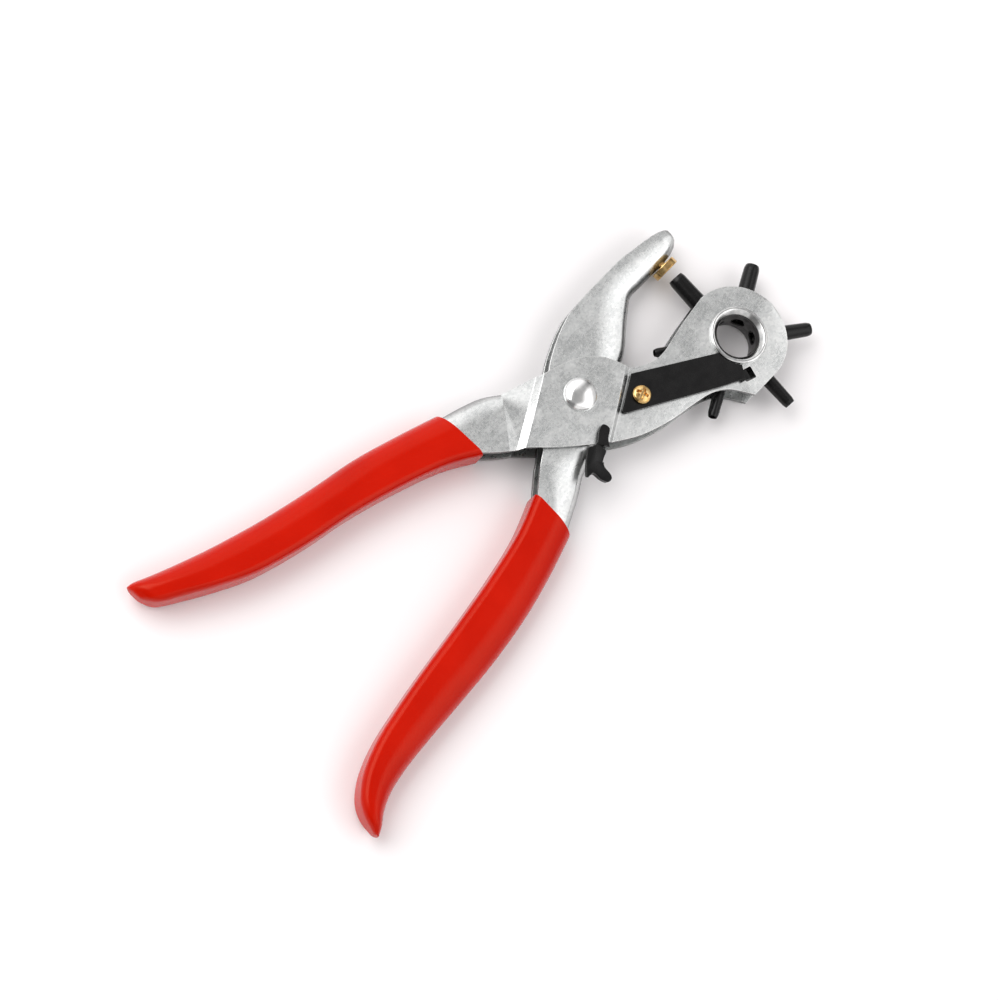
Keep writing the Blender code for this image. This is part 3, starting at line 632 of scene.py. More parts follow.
def sheet_section(line, is_open, crown):
    """Half of a section from the open edge to the middle of the fold, as points with their heights."""
    closed_edge, open_edge = Vector(line[0:2]), Vector(line[2:4])
    half, roll = line[4], line[5]
    across = closed_edge - open_edge
    if is_open:
        shares = [step / (FOLD_STEPS + 1) for step in range(FOLD_STEPS + 2)]
        return [(open_edge + across * t, half - crown * (2 * t - 1) ** 2) for t in shares]
    bend = min(roll, half - WEB_FLAT)
    corner = min(CORNER_WIDTH, 0.45 * roll)
    fall = SHOULDER_FALL * (roll - corner)
    shoulder = min(max((roll - line[6]) / 1.5, 0), 1)
    points = [(open_edge, half)]
    for step in range(FOLD_STEPS + 1):
        angle = math.pi / 2 * (1 - step / FOLD_STEPS)
        round_depth = roll * (1 - math.cos(angle))
        round_height = half - bend + bend * math.sin(angle)
        if step < SHOULDER_STEPS:
            share = step / SHOULDER_STEPS
            depth = roll - (roll - corner) * share
            height = half - fall * share**2
        else:
            angle = math.pi / 2 * (FOLD_STEPS - step) / (FOLD_STEPS - SHOULDER_STEPS)
            depth = corner * (1 - math.cos(angle) ** CORNER_POWER)
            height = half - bend + (bend - fall) * math.sin(angle) ** CORNER_POWER
        depth = round_depth + (depth - round_depth) * shoulder
        height = max(round_height + (height - round_height) * shoulder, WEB_FLAT)
        points.append((closed_edge - across.normalized() * depth, height))
    return points


def sheet_ring(line, is_open, crown=0.0):
    upper = sheet_section(line, is_open, crown)
    ring = [(*place, height) for place, height in upper]
    return ring + [(*place, -height) for place, height in reversed(upper)]


def sheet_rings(line):
    """The outer and the inner ring of a folded or an open pair of sheets."""
    if line[6] < 0:
        return sheet_ring(line, True, CROWN), sheet_ring((*line[:4], line[4] - SHEET, *line[5:]), True)
    inner = inset((*line[:5], line[6], line[6]), SHEET, 0, SHEET)
    inner = (*inner[:6], inner[5])
    return sheet_ring(line, False), sheet_ring(inner, False)


def folded_sheet(name, lines, nose=False):
    """A folded sheet through its stations: outer skin, inner skin, and cut edges between them."""
    outer, inner = [], []
    for line in lines:
        skin, lining = sheet_rings(line)
        outer.append(skin)
        inner.append(lining)
    count = len(outer[0])
    middle = count // 2 - 1
    cells = []
    for i in range(len(lines) - 1):
        for j in range(count - 1):
            if j == middle and (lines[i][6] < 0 or lines[i + 1][6] < 0):
                continue
            cells.append((i * count + j, i * count + j + 1, (i + 1) * count + j + 1, (i + 1) * count + j))
    if nose:
        cells.append(tuple((len(lines) - 1) * count + j for j in range(count)))
        for back, scale in enumerate((0.25, 0.5, 0.75)):
            number = len(inner) - 1 - back
            inner[number] = sheet_rings(inset(lines[-NOSE_LINES], 0.2 / scale, 0.2 / scale, 0.1 / scale))[1]
    points = [point for ring in outer for point in ring] + [point for ring in inner for point in ring]
    lift = len(lines) * count
    faces = list(cells) + [tuple(index + lift for index in reversed(cell)) for cell in cells]
    used = {}
    for cell in cells:
        for a, b in zip(cell, cell[1:] + cell[:1]):
            used[frozenset((a, b))] = used.get(frozenset((a, b)), []) + [(a, b)]
    for sides in used.values():
        if len(sides) == 1:
            a, b = sides[0]
            faces.append((b, a, a + lift, b + lift))
    return mesh_object(name, points, faces)


def grip_ring(line, inner_round, steps=10):
    """A grip's section: a half ellipse on the palm side, two rounded corners on the inner side."""
    closed_edge, open_edge = Vector(line[0:2]), Vector(line[2:4])
    along = (open_edge - closed_edge).normalized()
    half, roll = line[4], line[5]
    ring = []
    for step in range(2 * steps + 1):
        angle = math.pi / 2 - math.pi * step / (2 * steps)
        ring.append((*(closed_edge + along * roll * (1 - math.cos(angle))), half * math.sin(angle)))
    for step in range(2 * steps + 2):
        side = -1 if step <= steps else 1
        share = step / steps if side < 0 else (step - steps - 1) / steps
        angle = -math.pi / 2 * (1 - share) if side < 0 else math.pi / 2 * share
        across = open_edge - along * inner_round * (1 - math.cos(angle))
        ring.append((*across, side * (half - inner_round) + inner_round * math.sin(angle)))
    return ring


def grip_lines(pairs, half):
    lines = []
    for number, (palm, inner) in enumerate(pairs):
        from_tip = len(pairs) - 1 - number
        scale = GRIP_TIP_SCALES[-1 - from_tip] if from_tip < len(GRIP_TIP_SCALES) else 1.0
        width = (Vector(palm) - Vector(inner)).length
        lines.append(station(palm, inner, half * scale, min(GRIP_ROLL, 0.55 * width), SHEET))
    return lines


def metal_in_grip(pairs, half):
    lines = []
    for line in reversed(grip_lines(pairs, half)[:METAL_IN_GRIP]):
        moved = inset(line, COAT_SIDE + PLAY, COAT_SIDE + PLAY, 0)
        lines.append((*moved[:5], FOLD_IN_GRIP, FOLD_IN_GRIP))
    return lines


def build_grip(name, pairs, half_metal, body):
    """A dipped coat with a rounded end, hollow where the lever's channel reaches in."""
    lines = curve_through(grip_lines(pairs, GRIP_Z), LINE_STEPS)
    rings = [grip_ring(line, min(GRIP_INNER_ROUND, 0.45 * line[4])) for line in lines]
    last, before = lines[-1], lines[-2]
    middle = Vector((*((Vector(last[0:2]) + Vector(last[2:4])) / 2), 0))
    ahead = Vector((*last[0:2], 0)) + Vector((*last[2:4], 0))
    ahead = (ahead - Vector((*before[0:2], 0)) - Vector((*before[2:4], 0))).normalized()
    end_ring = rings[-1]
    for shrink, forward in GRIP_END:
        rings.append([middle + (Vector(point) - middle) * shrink + ahead * forward for point in end_ring])
    grip = rings_object(name, rings)
    core = [inset(line, -PLAY, -PLAY, -PLAY) for line in metal_in_grip(pairs, half_metal)]
    core = curve_through(core, 3)
    mouth, deeper = core[-1], core[-2]
    step = Vector(mouth[0:4]) - Vector(deeper[0:4])
    core.append((*(Vector(mouth[0:4]) + step), *mouth[4:]))
    cavity = rings_object(name + "_cavity", [sheet_ring(line, False) for line in core])
    boolean(grip, [cavity], "DIFFERENCE")
    round_edges(grip, 0.35, 4, 50)
    return finish_piece(grip, body, name, "red_vinyl")


def ramp_lines(first, second, ease=0.12):
    """Cross-lines up a straight ramp that is rounded at its foot and its head, without the two ends."""
    found = []
    for t in (ease / 2, ease, 1 - ease, 1 - ease / 2):
        from_end = min(t, 1 - t)
        share = from_end**2 / (2 * ease * (1 - ease))
        share = share if t < 0.5 else 1 - share
        line = [a + (b - a) * t for a, b in zip(first, second)]
        line[4] = first[4] + (second[4] - first[4]) * share
        found.append(tuple(line))
    return found


def punch_lever_lines():
    handle = metal_in_grip(PUNCH_GRIP, PUNCH_CHANNEL_Z)
    neck = [
        handle[-1],
        station((-28.0, 22.7), (-32.3, 5.8), PUNCH_CHANNEL_Z, 8.0, 6.6),
        station((-21.5, 20.4), (-30.0, 4.0), PUNCH_CHANNEL_Z, 8.0, 6.8),
        station((-16.5, 17.2), (-28.8, 3.1), PUNCH_CHANNEL_Z, 5.0, 4.4),
    ]
    before_joggle = station((-5.4, 13.3), (-27.2, 2.0), PUNCH_CHANNEL_Z, OPEN_ROLL, OPEN)
    panel = [
        station((-3.1, 12.2), (-24.8, 0.4), PANEL_Z, OPEN_ROLL, OPEN),
        station((5.8, 9.5), (-18.1, -5.6), PANEL_Z, OPEN_ROLL, OPEN),
        station((11.7, 6.1), (-11.6, -10.9), PANEL_Z, OPEN_ROLL, OPEN),
        station((15.4, 2.0), (-8.1, -13.5), PANEL_Z, OPEN_ROLL, OPEN),
        station((17.9, -3.5), (-4.3, -16.1), PANEL_Z, OPEN_ROLL, OPEN),
    ]
    cheek = [
        station((18.7, -4.9), (-3.2, -16.9), CHEEK_Z, OPEN_ROLL, OPEN),
        station((22.5, -7.3), (5.0, -21.5), CHEEK_Z, OPEN_ROLL, OPEN),
        station((27.0, -8.8), (15.5, -24.9), CHEEK_Z, OPEN_ROLL, OPEN),
        station((31.5, -8.9), (26.0, -26.7), CHEEK_Z, OPEN_ROLL, OPEN),
        station((37.0, -7.9), (32.5, -28.3), CHEEK_Z, OPEN_ROLL, OPEN),
        station((42.5, -6.9), (37.6, -31.6), CHEEK_Z, OPEN_ROLL, OPEN),
        station((47.0, -6.3), (42.2, -38.1), CHEEK_Z, OPEN_ROLL, OPEN),
    ]
    circle = []
    for angle in range(88, 2, -5):
        high, low = arc(WHEEL_CENTRE, HEAD_R, angle, -angle, 1)
        circle.append(station(high, low, CHEEK_Z, OPEN_ROLL, OPEN))
    return (
        curve_through(handle, 3)[:-1]
        + curve_through(neck, LINE_STEPS)
        + [before_joggle]
        + ramp_lines(before_joggle, panel[0])
        + curve_through(panel, LINE_STEPS)
        + ramp_lines(panel[-1], cheek[0])
        + curve_through(cheek, LINE_STEPS)
        + circle
    )


def window_centre():
    return WHEEL_CENTRE + NOTCH_RING_R * tube_direction(3.5)


def build_punch_lever():
    lever = folded_sheet("punch_lever_sheet", punch_lever_lines())
    round_edges(lever)
    cutters = [
        rod_object("pivot_hole", PIVOT_SHANK_R + RUNNING, -THROUGH, THROUGH, (0, 0, 0)),
        rod_object("sleeve_hole", SLEEVE_R + RUNNING, -THROUGH, THROUGH, WHEEL_CENTRE),
        rod_object("screw_hole", SCREW_R + PLAY, 0, THROUGH, POST_CENTRE),
        rod_object("post_hole", SCREW_R + 2 * PLAY, -THROUGH, 0, POST_CENTRE),
        turned_object("rear_seat", countersink(RUNNING), (0, 0, 0), UP),
    ]
    window = turned_points(rounded_box(WINDOW_SIDE, WINDOW_SIDE, 0.4), window_centre(), WINDOW_DEG)
    cutters.append(plate_object("window_hole", window, 1.0, THROUGH))
    boolean(lever, cutters, "DIFFERENCE")
    return finish_piece(lever, "punch_side", "punch_lever", "plated_steel")


def anvil_lever_lines():
    half = ANVIL_CHANNEL_Z
    handle = metal_in_grip(ANVIL_GRIP, half)
    body = [
        handle[-1],
        station((-23.4, -21.6), (-25.6, -6.7), half, 11.0, 6.0),
        station((-16.6, -17.9), (-20.7, -3.5), half, 10.0, 4.5),
        station((-9.4, -15.2), (-12.8, 2.9), half, 4.0, 3.4),
        station((0.0, -9.4), (-6.0, 8.2), half, 2.6, 2.6),
        station((12.0, -4.9), (2.0, 13.6), half, 7.5, 6.5),
        station((22.3, -0.9), (10.5, 17.5), half, 10.5, 9.0),
        station((29.5, 4.3), (17.5, 19.7), half, 11.0, 9.0),
    ]
    jaw = [
        body[-1],
        station((34.5, 7.9), (24.5, 20.2), half, 11.0, 8.0),
        station((38.4, 10.1), (33.0, 20.4), half, 9.5, 5.5),
        station((43.0, 10.2), (42.0, 20.5), half, 8.8, 3.6),
        station((48.5, 10.2), (48.5, 19.9), half, 8.2, 2.4),
        station((54.0, 10.2), (54.3, 19.2), half, 7.4, 2.4),
        station((58.3, 10.6), (58.9, 18.3), half, 5.6, 2.6),
    ]
    tip = [
        station((60.9, 11.4), (61.2, 17.4), 3.7, 4.0, 2.4),
        station((62.2, 12.6), (62.4, 16.6), 3.1, 2.2, 2.0),
        station((62.9, 13.9), (63.0, 15.6), 2.0, 0.9, 0.9),
    ]
    return (
        curve_through(handle, 3)[:-1]
        + curve_through(body, LINE_STEPS)[:-1]
        + curve_through(jaw, LINE_STEPS)
        + tip
    )


def build_anvil_lever():
    lever = folded_sheet("anvil_lever_sheet", anvil_lever_lines(), nose=True)
    round_edges(lever)
    pin_foot = ANVIL_CHANNEL_Z - LATCH_PIN_DEPTH - PLAY
    cutters = [
        rod_object("pivot_hole", PIVOT_SHANK_R + RUNNING, -THROUGH, THROUGH, (0, 0, 0)),
        rod_object("stud_hole", ANVIL_STUD_R + RUNNING, -2, 4, ANVIL_CENTRE, (0, 1, 0)),
        rod_object("pin_hole", LATCH_PIN_R + RUNNING, pin_foot, THROUGH, LATCH_PIN),
    ]
    boolean(lever, cutters, "DIFFERENCE")
    return finish_piece(lever, "anvil_side", "anvil_lever", "plated_steel")


# ---------------------------------------------------------------- pivot, post and springs


def countersink(clearance):
    """The seat of the rivet's rear end: a flat disc that narrows into the panel."""
    wide = PIVOT_FOOT_R + clearance
    narrow = PIVOT_SHANK_R + clearance
    below = -MID_Z - 2
    return ((0, below), (wide, below), (wide, FOOT_DISC_Z), (narrow, FOOT_CONE_Z), (0, FOOT_CONE_Z))


def build_pivot_rivet():
    """A domed head in front, a shank through four sheets, and a flat end spread in a countersink."""
    foot = PANEL_Z + RUNNING
    edge = 0.2
    dome_steps = 16
    rear = [(0, -MID_Z), (PIVOT_FOOT_R, -MID_Z), (PIVOT_FOOT_R, FOOT_DISC_Z), (PIVOT_SHANK_R, FOOT_CONE_Z)]
    profile = rounded_profile(rear, 0.35)
    profile += [(PIVOT_SHANK_R, foot), (PIVOT_HEAD_R - 0.15, foot), (PIVOT_HEAD_R, foot + 0.12)]
    for step in range(1, dome_steps):
        angle = math.pi / 2 * step / dome_steps
        rise = edge + (PIVOT_HEAD_RISE - edge) * math.sin(angle)
        profile.append((PIVOT_HEAD_R * math.cos(angle), foot + rise))
    profile.append((0, foot + PIVOT_HEAD_RISE))
    rivet = settle(turned_object("pivot_rivet_dome", profile, (0, 0, 0), UP))
    return finish_piece(rivet, "punch_side", "pivot_rivet", "bright_steel")


def tangent_angle(end, leaving):
    """Where a straight leg to a point leaves the coil, or meets it, on a coil wound anticlockwise."""
    away = math.degrees(math.atan2(end.y, end.x))
    reach = math.degrees(math.acos(COIL_R / end.to_2d().length))
    return away - reach if leaving else away + reach


def build_opening_spring():
    """A torsion coil round the rivet, with one straight leg in each handle channel."""
    start = tangent_angle(ANVIL_LEG_END, False)
    sweep = (tangent_angle(PUNCH_LEG_END, True) - start) % 360 + 360 * COIL_FULL_TURNS
    rise = COIL_PITCH * sweep / 360
    steps = 40 * (COIL_FULL_TURNS + 1)
    path = [Vector((*ANVIL_LEG_END.to_2d(), -rise / 2))]
    for step in range(steps + 1):
        angle = math.radians(start + step / steps * sweep)
        path.append(Vector((COIL_R * math.cos(angle), COIL_R * math.sin(angle), rise * (step / steps - 0.5))))
    path.append(Vector((*PUNCH_LEG_END.to_2d(), rise / 2)))
    rings = []
    for number, point in enumerate(path):
        before, after = path[max(number - 1, 0)], path[min(number + 1, len(path) - 1)]
        along = (after - before).normalized()
        side = along.cross(Vector(UP)).normalized()
        up = side.cross(along)
        angles = [2 * math.pi * corner / WIRE_SIDES for corner in range(WIRE_SIDES)]
        rings.append([point + WIRE_R * (math.cos(a) * side + math.sin(a) * up) for a in angles])
    spring = round_edges(rings_object("opening_spring_wire", rings), 0.12, 2, 50)
    return finish_piece(spring, "opening_coil", "opening_spring", "bright_steel")


def build_spacer_post():
    """A post between the cheeks, peened over behind the rear one and tapped for the spring's screw."""
    inner = CHEEK_Z - SHEET - 0.15
    rear = -CHEEK_Z - 0.15
    neck_r = SCREW_R + 2 * PLAY - RUNNING
    bore_r = SCREW_R + RUNNING
    bore_foot = -1.5
    corners = [(0, rear - 0.75), (2.8, rear - 0.75), (3.2, rear - 0.35), (3.2, rear), (neck_r, rear)]
    corners += [(neck_r, -inner), (POST_R, -inner), (POST_R, inner)]
    corners += [(bore_r, inner), (bore_r, bore_foot), (0, bore_foot)]
    post = settle(turned_object("spacer_post_turned", rounded_profile(corners, 0.2), POST_CENTRE, UP))
    return finish_piece(post, "punch_side", "spacer_post", "bright_steel")


def build_index_screw():
    """A brass pan-head screw with a tapered cross recess."""
    foot = LEAF_Z + LEAF_THICK + 0.15
    corners = [(0, -1.2), (SCREW_R, -1.2), (SCREW_R, foot), (SCREW_HEAD_R, foot), (SCREW_HEAD_R, foot + 0.5)]
    corners += [(0.86 * SCREW_HEAD_R, foot + 1.05), (0.45 * SCREW_HEAD_R, foot + 1.38), (0, foot + 1.45)]
    screw = settle(turned_object("index_screw_head", rounded_profile(corners, 0.22), POST_CENTRE, UP))
    taper = ((0.2, 2.4, 0.7), (0.9, 3.6, 0.95), (2.5, 5.2, 1.5))
    cutters = []
    for number, degrees in enumerate((20, 110)):
        rings = []
        for height, length, width in taper:
            outline = turned_points(rounded_box(length, width, 0.2), POST_CENTRE, degrees)
            rings.append([(x, y, foot + height + 0.02 * number) for x, y in outline])
        cutters.append(rings_object("cross_slot_%d" % number, rings))
    boolean(screw, cutters, "DIFFERENCE")
    round_edges(screw, 0.07, 2)
    return finish_piece(screw, "punch_side", "index_spring_screw", "brass")


def index_tab():
    """The leaf's end, bent down through the window as far as the wheel's face."""
    top, under = LEAF_Z + LEAF_THICK - 0.05, LEAF_Z + 0.05
    foot = DRUM_HALF + PLAY
    outer = [(-3.6, top), (-2.2, top), (-0.3, top), (-0.3, 4.2), (-0.3, foot)]
    inner = [(-1.1, foot), (-1.1, 4.6), (-1.1, under), (-2.2, under), (-3.6, under)]
    bend = rounded_outline([(x, z, 0.05) for x, z in outer[:2]] + [(*outer[2], 1.3)] + outer[3:], 0.1, 6)
    bend += rounded_outline([(*inner[0], 0.1), inner[1], (*inner[2], 0.5), *inner[3:]], 0.1, 6)
    rings = []
    for side in (-TAB_WIDTH / 2, TAB_WIDTH / 2):
        places = turned_points([(x, side) for x, _ in bend], window_centre(), WINDOW_DEG)
        rings.append([(*place, z) for place, (_, z) in zip(places, bend)])
    return rings_object("index_tab", rings)


def build_index_spring():
    """A leaf that springs against the front cheek and drops a bent tab through the square window."""
    rim = SLEEVE_RIM_R + PLAY
    leaf = [(-7.6, -3.2, 0.3), (-6.9, -4.3, 0.8), (0.0, -4.1, 2.0), (26.4, -3.5, 4.0), (34.5, -2.8, 0.6)]
    leaf += [(35.2, 2.2, 0.1), (32.0, 7.6, 0.3), (27.6, 7.0, 1.0), (0.0, 7.2, 1.0), (-0.9, 7.2, 0.3)]
    outline = turned_points(rounded_outline(leaf, 0.5, 4), POST_CENTRE, LEAF_DEG)
    spring = plate_object("index_leaf", outline, LEAF_Z, LEAF_Z + LEAF_THICK)
    low, high = LEAF_Z - 2, LEAF_Z + 3
    boolean(spring, [rod_object("leaf_relief", rim, low, high, WHEEL_CENTRE)], "DIFFERENCE")
    round_edges(spring, 0.14, 3)
    boolean(spring, [round_edges(index_tab(), 0.1, 2, 50)], "UNION")
    boolean(spring, [rod_object("leaf_hole", SCREW_R + PLAY, low, high, POST_CENTRE)], "DIFFERENCE")
    return finish_piece(spring, "index_leaf", "index_spring", "black_steel")


# ---------------------------------------------------------------- punch wheel


def tube_angle(number):
    return FIRST_TUBE_DEG + TUBE_STEP_DEG * number


def tube_direction(number):
    angle = math.radians(tube_angle(number))
    return Vector((math.cos(angle), math.sin(angle), 0))


def build_punch_wheel():
    """The drum that carries the tubes, with one notch in its front face between each pair."""
    bore = SLEEVE_R + RUNNING
    corners = [(bore, -DRUM_HALF), (DRUM_R, -DRUM_HALF), (DRUM_R, DRUM_HALF), (bore, DRUM_HALF)]
    drum = settle(turned_object("wheel_drum", rounded_profile(corners, 0.5), WHEEL_CENTRE, UP))
    cutters = []
    for number in range(len(HOLE_SIZES)):
        way = tube_direction(number)
        bore_r = TUBE_STUD_R + RUNNING
        cutters.append(rod_object("stud_bore_%d" % number, bore_r, 5, 16, WHEEL_CENTRE, way, 48))
        place = WHEEL_CENTRE + NOTCH_RING_R * tube_direction(number + 0.5)
        notch = turned_points(rounded_box(3.4, 3.2, 0.4), place, tube_angle(number + 0.5))
        cutters.append(plate_object("notch_%d" % number, notch, DRUM_HALF - NOTCH_DEPTH, DRUM_HALF + 2))
    boolean(drum, cutters, "DIFFERENCE")
    return finish_piece(drum, "wheel", "punch_wheel", "black_steel")


def slug_radius(size):
    """The bore through a tube's stud, which is held under what the stud's wall allows."""
    return min(size / 2, TUBE_STUD_R - 0.5)


def build_wheel_sleeve():
    """The hollow hub rolled over both cheeks, with a way in for the slugs behind each tube."""
    cheek = CHEEK_Z + RUNNING
    front = [(SLEEVE_BORE_R, 3.6), (6.9, 4.8), (7.7, 5.7), (8.2, MID_Z), (8.95, MID_Z), (SLEEVE_RIM_R, 5.85)]
    front += [(SLEEVE_RIM_R, cheek + 0.1), (SLEEVE_RIM_R - 0.1, cheek), (SLEEVE_R, cheek)]
    back = [(radius, -height) for radius, height in reversed(front)]
    corners = [(SLEEVE_BORE_R, -3.0)] + [(SLEEVE_BORE_R, 3.0)] + front[1:] + back[:-1]
    sleeve = settle(turned_object("wheel_sleeve_rolled", rounded_profile(corners, 0.3), WHEEL_CENTRE, UP))
    ways = []
    for number in range(len(HOLE_SIZES)):
        way = tube_direction(number)
        ways.append(rod_object("slug_way_%d" % number, SLUG_WAY_R, 4, 10, WHEEL_CENTRE, way, 40))
    boolean(sleeve, ways, "DIFFERENCE")
    return finish_piece(sleeve, "wheel", "wheel_sleeve", "bright_steel", "hub_steel")


def build_punch_tube(number):
    """One punch: a stud pressed in the drum, a shoulder, a slight taper and a sharpened end."""
    size = HOLE_SIZES[number]
    tip_r = size / 2 + TUBE_WALL
    base_r = min(tip_r + 0.25, DRUM_HALF)
    shoulder = DRUM_R + 0.15
    stud_end = SLEEVE_R + 0.15
    throat = slug_radius(size)
    bore = size / 2
    foot = shoulder - 0.4 if base_r < TUBE_STUD_R else shoulder
    corners = [(throat, stud_end), (TUBE_STUD_R, stud_end), (TUBE_STUD_R, foot), (base_r, shoulder)]
    corners += [(tip_r, TUBE_TIP_R - 1.2), (bore + 0.14, TUBE_TIP_R), (bore, TUBE_TIP_R)]
    if throat < bore:
        corners += [(bore, shoulder + 1.5), (throat, shoulder + 0.8)]
    name = "punch_tube_%d" % (number + 1)
    profile = rounded_profile(corners, 0.35)
    tube = settle(turned_object(name + "_turned", profile, WHEEL_CENTRE, tube_direction(number), 64))
    return finish_piece(tube, "wheel", name, "black_steel")


# ---------------------------------------------------------------- anvil and latch


def build_anvil_pad():
    """A turned disc with a stud through the jaw's folded edge, spread inside it."""
    thick = ANVIL_THICK
    inside = PLAY + SHEET + PLAY
    corners = [(0, -thick), (ANVIL_R, -thick), (ANVIL_R, -0.05), (ANVIL_R - 0.25, 0)]
    corners += [(ANVIL_STUD_R, 0), (ANVIL_STUD_R, inside), (1.9, inside), (1.9, inside + 0.3)]
    corners += [(1.4, inside + 0.9), (0, inside + 1.0)]
    pad = settle(turned_object("anvil_disc", rounded_profile(corners, 0.3), ANVIL_CENTRE, (0, 1, 0)))
    return finish_piece(pad, "anvil_side", "anvil_pad", "brass")


def latch_slope():
    """The space over the latch's sloping side, as a prism along the ridge of the slope."""
    along, across = Vector((-0.83, -0.557)), Vector((0.557, -0.83))
    width = 8
    low = LATCH_TOP_Z - width * math.tan(math.radians(LATCH_SLOPE_DEG))
    rings = []
    for reach in (0.8, 6.2):
        foot = LATCH_RIDGE + along * reach
        far = foot + across * width
        rings.append([(*foot, LATCH_TOP_Z), (*far, low), (*far, LATCH_TOP_Z + 1), (*foot, LATCH_TOP_Z + 1)])
    return rings_object("latch_slope", rings)


def build_lock_latch():
    """A pressed latch: ear on its pin, finger over the panel's corner, thumb tab outside the lever."""
    plate = [(-2.8, -11.0), (-1.8, -11.6), (-1.7, -13.5), (-4.2, -15.1), (-5.3, -16.3), (-6.8, -17.8)]
    plate += [(-10.2, -18.8), (-11.9, -20.2), (-12.3, -23.2), (-13.2, -24.4), (-14.7, -24.2), (-15.6, -22.2)]
    plate += [(-15.8, -19.3), (-18.4, -18.8), (-15.9, -16.1), (-13.2, -14.0), (-11.0, -12.8), (-9.3, -13.7)]
    plate += [(-7.5, -13.5), (-5.0, -11.7)]
    latch = plate_object("latch_plate", closed_curve(plate, 4), LATCH_OVER_Z, LATCH_TOP_Z)
    round_edges(latch, 0.22, 3)
    ear = [(-9.2, -15.0), (-7.6, -16.4), (-7.4, -17.5), (-10.0, -18.5), (-11.7, -19.8), (-12.4, -23.3)]
    ear += [(-13.2, -24.1), (-14.4, -23.9), (-15.3, -21.8), (-15.6, -19.3), (-17.7, -18.5), (-15.6, -16.4)]
    ear += [(-13.1, -14.4), (-11.2, -13.4), (-10.0, -13.9)]
    ear = plate_object("latch_ear", closed_curve(ear, 4), LATCH_LOW_Z, LATCH_OVER_Z + 0.4)
    boolean(latch, [round_edges(ear, 0.15, 2)], "UNION")
    boolean(latch, [latch_slope()], "DIFFERENCE")
    hole = rod_object("latch_hole", LATCH_PIN_R + RUNNING, 0, LATCH_TOP_Z - 0.5, LATCH_PIN, steps=48)
    boolean(latch, [hole], "DIFFERENCE")
    return finish_piece(latch, "latch", "lock_latch", "black_steel")


def build_latch_pin():
    """A short pin in the lever's folded edge that ends inside the latch."""
    foot, over = ANVIL_CHANNEL_Z - LATCH_PIN_DEPTH, LATCH_TOP_Z - 0.7
    profile = rounded_profile([(0, foot), (LATCH_PIN_R, foot), (LATCH_PIN_R, over), (0, over)], 0.12)
    pin = settle(turned_object("latch_pin_turned", profile, LATCH_PIN, UP, 48))
    return finish_piece(pin, "anvil_side", "latch_pin", "black_steel")


# ---------------------------------------------------------------- stage, lights and camera


def build_floor():
    mesh = bpy.data.meshes.new("floor")
    side = 3.0
    corners = [(-side, -side, 0), (side, -side, 0), (side, side, 0), (-side, side, 0)]
    mesh.from_pydata(corners, [], [(0, 1, 2, 3)])
    floor = bpy.data.objects.new("floor", mesh)
    bpy.context.scene.collection.objects.link(floor)
    made, tree, shader = start_material("paper", 0.0)
    shade = blend_colours(tree, noise_of(tree, 60.0), (0.90, 0.885, 0.89), (0.92, 0.905, 0.91))
    tree.links.new(shade, shader.inputs["Base Color"])
    shader.inputs["Roughness"].default_value = 0.9
    shader.inputs["Specular IOR Level"].default_value = 0.1
    mesh.materials.append(made)


def build_light(name, place, target, size, power, colour=(1, 1, 1)):
    light = bpy.data.lights.new(name, "AREA")
    light.shape = "RECTANGLE"
    light.size, light.size_y = size
    light.energy = power
    light.color = colour
    lamp = bpy.data.objects.new(name, light)
    lamp.location = place
    lamp.rotation_euler = (Vector(target) - Vector(place)).to_track_quat("-Z", "Y").to_euler()
    bpy.context.scene.collection.objects.link(lamp)


def toward(tree, way, direction):
    """How far each direction of the world points that way."""
    made = add_node(tree, "ShaderNodeVectorMath", {0: way, 1: direction}, operation="DOT_PRODUCT")
    return made.outputs["Value"]


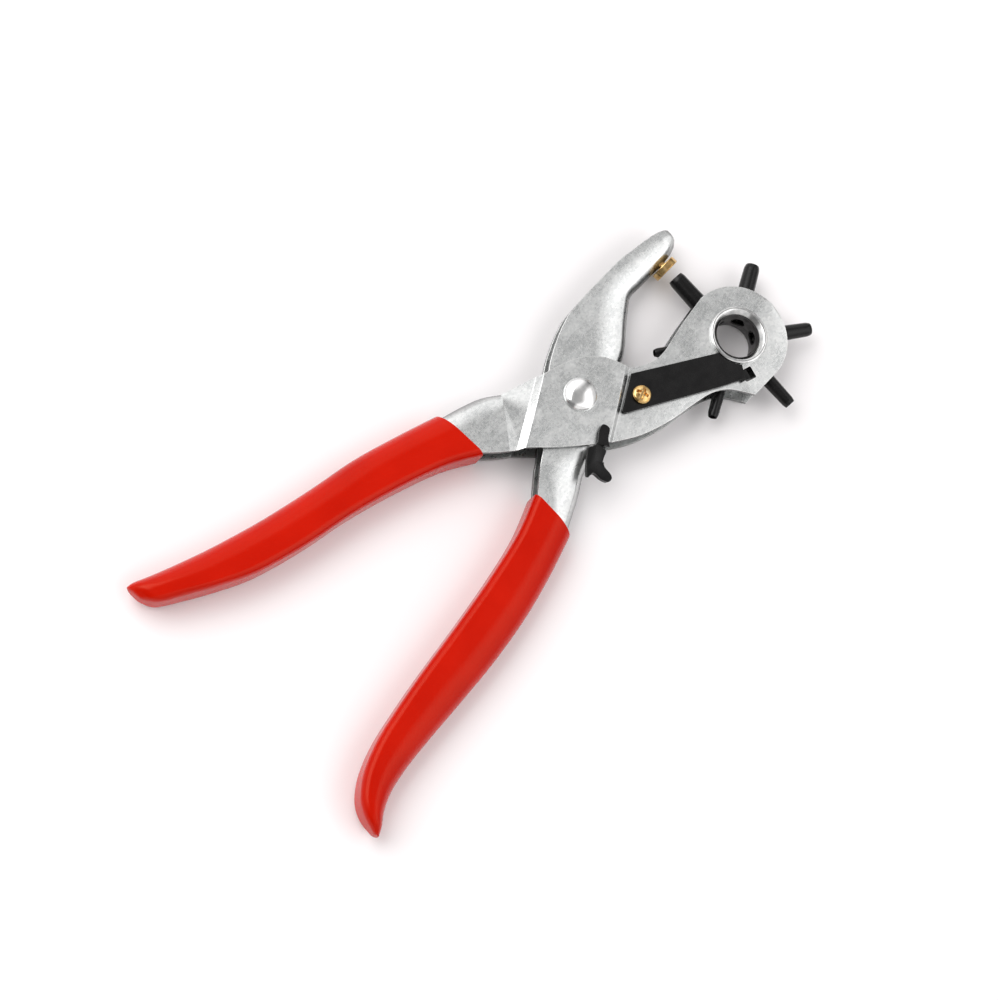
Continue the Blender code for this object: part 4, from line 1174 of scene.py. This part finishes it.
def build_world():
    """A bright screen to each side of the tool, dim ends, grey above and darker towards the horizon."""
    world = bpy.data.worlds.new("studio")
    world.use_nodes = True
    tree = world.node_tree
    way = add_node(tree, "ShaderNodeTexCoord").outputs["Generated"]
    ring_light, top_light = 0.5, 0.42
    punch_side = spread(tree, toward(tree, way, (0.1, 0.995, 0)), 0.22, 0.40, 0.0, 0.75)
    anvil_side = spread(tree, toward(tree, way, (0.17, -0.985, 0)), 0.10, 0.26, 0.0, 1.5)
    front = spread(tree, toward(tree, way, (0.9, -0.42, 0)), 0.6, 0.85, 1.0, 0.35)
    behind = spread(tree, toward(tree, way, (-0.83, -0.55, 0)), 0.3, 0.6, 1.0, 0.45)
    ring = arithmetic(tree, "ADD", ring_light, arithmetic(tree, "ADD", punch_side, anvil_side))
    ring = arithmetic(tree, "MULTIPLY", ring, arithmetic(tree, "MULTIPLY", front, behind))
    outward = spread(tree, toward(tree, way, UP), 0.97, 0.85)
    low = spread(tree, toward(tree, way, UP), 0.35, 0.05, 1.0, 0.6)
    extra = arithmetic(tree, "SUBTRACT", ring, top_light)
    light = arithmetic(tree, "ADD", top_light, arithmetic(tree, "MULTIPLY", outward, extra))
    light = arithmetic(tree, "MULTIPLY", light, low)
    tree.links.new(light, tree.nodes["Background"].inputs["Strength"])
    tree.nodes["Background"].inputs["Color"].default_value = (1.0, 0.985, 0.985, 1.0)
    bpy.context.scene.world = world


def build_camera():
    """The camera looks from the handles' end, 23.5 degrees off straight down, a metre away."""
    tilt, roll, distance = math.radians(23.5), math.radians(45.5), 1.0
    along = Vector((math.cos(tilt), 0, math.sin(tilt)))
    across = Vector((0, 1, 0))
    back = Vector((-math.sin(tilt), 0, math.cos(tilt)))
    right = along * math.cos(roll) - across * math.sin(roll)
    up = along * math.sin(roll) + across * math.cos(roll)
    camera = bpy.data.cameras.new("camera")
    camera.lens = 120.96
    camera.sensor_width = 36.0
    seen = bpy.data.objects.new("camera", camera)
    bpy.context.scene.collection.objects.link(seen)
    target = Vector((-0.04063, -0.00497, MID_Z * MM))
    turn = Matrix((right, up, back)).transposed().to_4x4()
    seen.matrix_world = Matrix.Translation(target + back * distance) @ turn
    bpy.context.scene.camera = seen


def build_studio():
    build_floor()
    build_world()
    build_camera()
    build_light("key", (-0.25, 0.75, 0.95), (-0.03, 0.0, 0.0), (1.2, 0.9), 8.0, (1.0, 0.985, 0.98))
    bpy.context.scene.view_settings.view_transform = "Standard"


def main():
    build_punch_lever()
    build_anvil_lever()
    build_grip("punch_lever_grip", PUNCH_GRIP, PUNCH_CHANNEL_Z, "punch_side")
    build_grip("anvil_lever_grip", ANVIL_GRIP, ANVIL_CHANNEL_Z, "anvil_side")
    build_pivot_rivet()
    build_opening_spring()
    build_spacer_post()
    build_index_screw()
    build_index_spring()
    build_punch_wheel()
    build_wheel_sleeve()
    for number in range(len(HOLE_SIZES)):
        build_punch_tube(number)
    build_anvil_pad()
    build_lock_latch()
    build_latch_pin()
    build_studio()


main()
